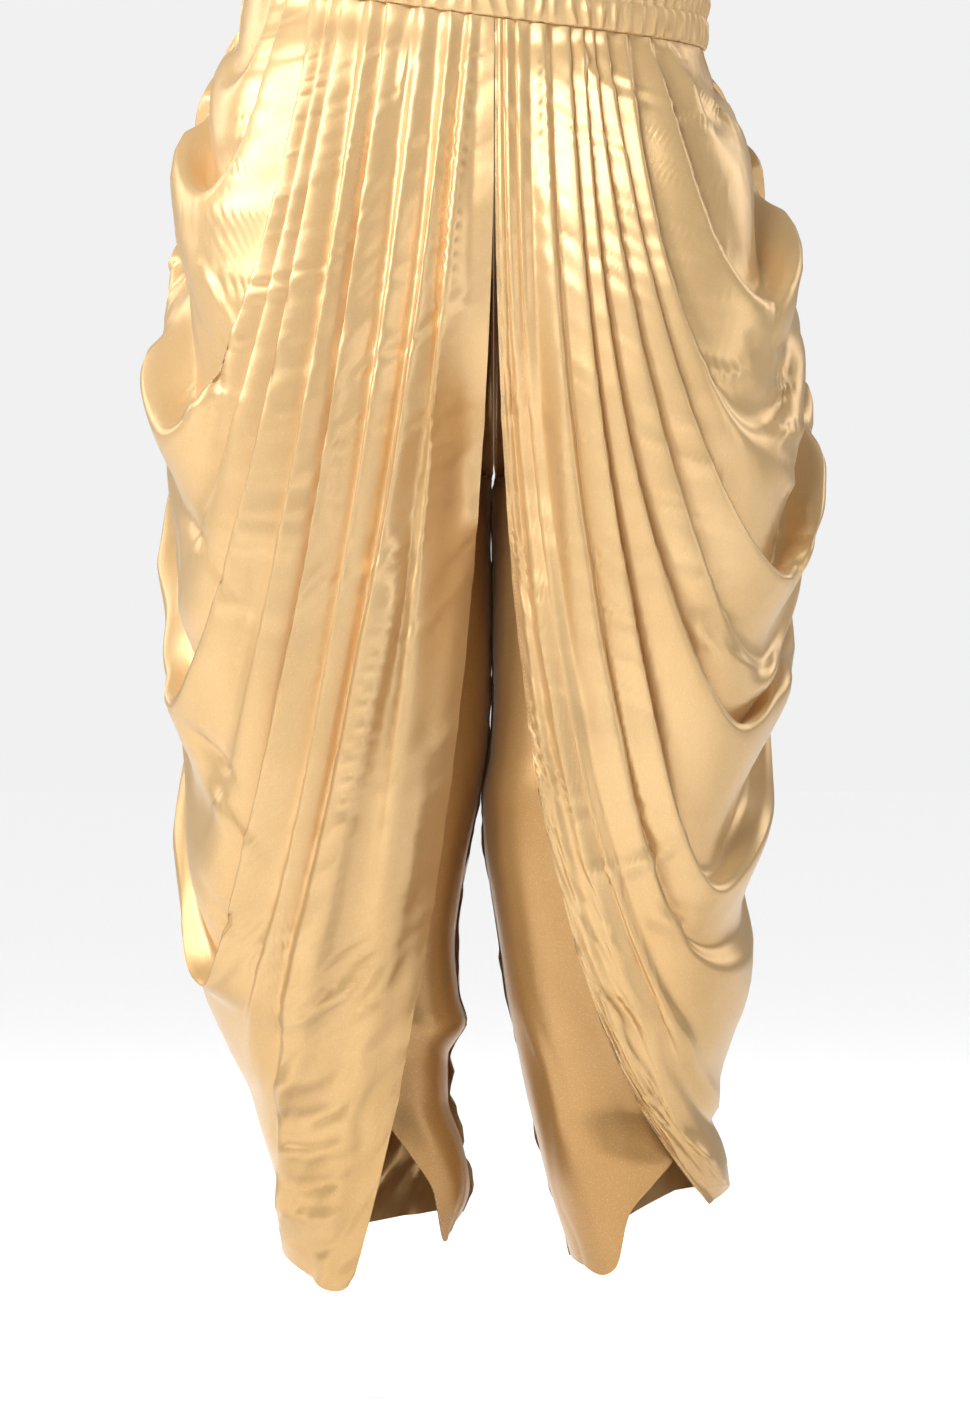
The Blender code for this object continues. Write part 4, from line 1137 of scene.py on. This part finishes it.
# %% Hem and channel stitching
stitches = stitch_tree(thread)
HEM_INSET = 4  # points above the hem
EDGE_INSET = {"front": 3, "under": 2}  # points beside the free edge
HEM_BELOW = 1120.0  # units, the cloth that ends lower than this has a stitched hem
SIDE_WIDTH = 0.002  # cloth this near the outer side's plane belongs to the side
FEWEST_POINTS = 3
STITCH_LIFT = 0.0003  # between the band's cloth and the middle of a stitch
stitch_pieces = []
for word, kinds in made_legs.items():
    paths = []
    for kind in ("front", "back", "under"):
        _, grid, normals, _ = kinds[kind]
        lifted = grid + normals * (CLOTH / 2 + STITCH_WIDTH * 0.2)
        if kind in EDGE_INSET:
            paths.append(lifted[-EDGE_INSET[kind], 8:-3])
        down = -grid[:, -1, 2] / UNIT + ORIGIN_DOWN
        on_hem = (down > HEM_BELOW) & (np.abs(grid[:, -1, 1]) > SIDE_WIDTH)
        if on_hem.sum() > FEWEST_POINTS:
            paths.append(lifted[on_hem, -HEM_INSET])
    stitch_pieces.append(stitch_row(word + "_hem_stitches", paths, stitches))
band_paths = []
for level in (1, BAND_LEVELS // 2):
    ring = band_grid[level]
    outward = unit(ring * np.array([1, 1, 0]))
    path = ring + outward * STITCH_LIFT
    band_paths.append(np.concatenate([path, path[:1]]))
stitch_pieces.append(stitch_row("waistband_stitches", band_paths, stitches))

# %% [markdown]
# Every piece rides on the one body. A panel also stands for the plain solid under it, which is hidden.

# %% Materials, body and hidden solids
for kinds in made_legs.values():
    for kind, (piece, grid, _, name) in kinds.items():
        piece.data.materials.append(painted_shade_cloth if kind == "under" else satin_cloth)
        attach(piece, "root")
        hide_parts(name)
        held = "hung" if kind == "under" else "gathered"
waistband.data.materials.append(band_satin)
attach(waistband, "root")
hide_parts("waistband")
for piece in stitch_pieces:
    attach(piece, "root")

# %% [markdown]
# The camera looks level at the middle of the garment through a long lens, and the top edge of the frame
# cuts the waistband. The set is a pale floor in a white room. Satin looks flat under even light, so one
# strong key light stands to the left, weaker ones fill and edge the folds, and the floor has a light of its
# own and throws none back.

# %% Camera
FRAME_WIDTH, FRAME_HEIGHT = 970, 1404
DISTANCE = 5.0
DRAPE_PLANE = 0.10  # how far the cloth stands in front of the waist's centre
SHARP_AT = 0.4  # the share of that distance at which the draft has its true size
SENSOR = 36.0
centre_x = (FRAME_WIDTH / 2 - ORIGIN_ACROSS) * UNIT
centre_z = -(FRAME_HEIGHT / 2 - ORIGIN_DOWN) * UNIT
camera = bpy.data.objects.new("camera", bpy.data.cameras.new("camera"))
camera.location = (centre_x, -DISTANCE - DRAPE_PLANE, centre_z)
camera.rotation_euler = (np.pi / 2, 0, 0)
camera.data.lens = SENSOR * (DISTANCE + DRAPE_PLANE * SHARP_AT) / (FRAME_HEIGHT * UNIT)
camera.data.sensor_width = SENSOR
camera.data.clip_end = 40
bpy.context.scene.collection.objects.link(camera)
bpy.context.scene.camera = camera
print("lens", round(camera.data.lens, 1), "mm")

# %% Floor
FLOOR_AT = -1.13
FLOOR_REACH = 40
corners = FLOOR_REACH * np.array([(-1, -1, 0), (1, -1, 0), (1, 1, 0), (-1, 1, 0)])
corners = corners + np.array([0, 0, FLOOR_AT])
floor = make_mesh("studio_floor", corners, np.array([(0, 1, 2, 3)]), corners[:, :2])
pale = bpy.data.materials.new("pale_floor")
pale.use_nodes = True
surface = pale.node_tree.nodes["Principled BSDF"]
surface.inputs["Base Color"].default_value = (0.93, 0.93, 0.93, 1)
surface.inputs["Roughness"].default_value = 0.9
floor.data.materials.append(pale)
floor.visible_diffuse = False

# %% Lights
# Name, place, size in metres, power in watts
LIGHTS = (
    ("key", (-2.6, -2.3, 1.2), 0.9, 78),
    ("fill", (2.8, -2.2, -0.1), 1.2, 15),
    ("top", (-0.6, -1.6, 0.9), 0.8, 25),
    ("edge_left", (-2.4, 0.9, 0.8), 1.6, 22),
    ("edge_right", (2.4, 0.9, 0.8), 1.6, 22),
)
MIDDLE = np.array([0.0, 0.0, -0.5])  # where every lamp points
FLOOR_DAYLIGHT = 2.4
ROOM_AS_LIGHT = 0.24
ROOM_AS_SEEN = 0.88
for name, place, size, power in LIGHTS:
    lamp = bpy.data.lights.new(name, "AREA")
    lamp.shape = "SQUARE"
    lamp.size = size
    lamp.energy = power
    holder = bpy.data.objects.new(name, lamp)
    holder.location = place
    holder.rotation_euler = Vector(MIDDLE - np.array(place)).to_track_quat("-Z", "Y").to_euler()
    bpy.context.scene.collection.objects.link(holder)
floor_only = bpy.data.collections.new("floor_only")
floor_only.objects.link(floor)
daylight = bpy.data.lights.new("floor_light", "SUN")
daylight.energy = FLOOR_DAYLIGHT
daylight.angle = 0.9
holder = bpy.data.objects.new("floor_light", daylight)
holder.light_linking.receiver_collection = floor_only
bpy.context.scene.collection.objects.link(holder)
bpy.context.scene.view_settings.view_transform = "Standard"
world = bpy.data.worlds.new("soft_room")
world.use_nodes = True
room = world.node_tree
backdrop = room.nodes["Background"]
backdrop.inputs["Color"].default_value = (1, 1, 1, 1)
path = room.nodes.new("ShaderNodeLightPath")
strength = room.nodes.new("ShaderNodeMapRange")
strength.inputs["To Min"].default_value = ROOM_AS_LIGHT
strength.inputs["To Max"].default_value = ROOM_AS_SEEN
room.links.new(path.outputs["Is Camera Ray"], strength.inputs["Value"])
room.links.new(strength.outputs["Result"], backdrop.inputs["Strength"])
bpy.context.scene.world = world
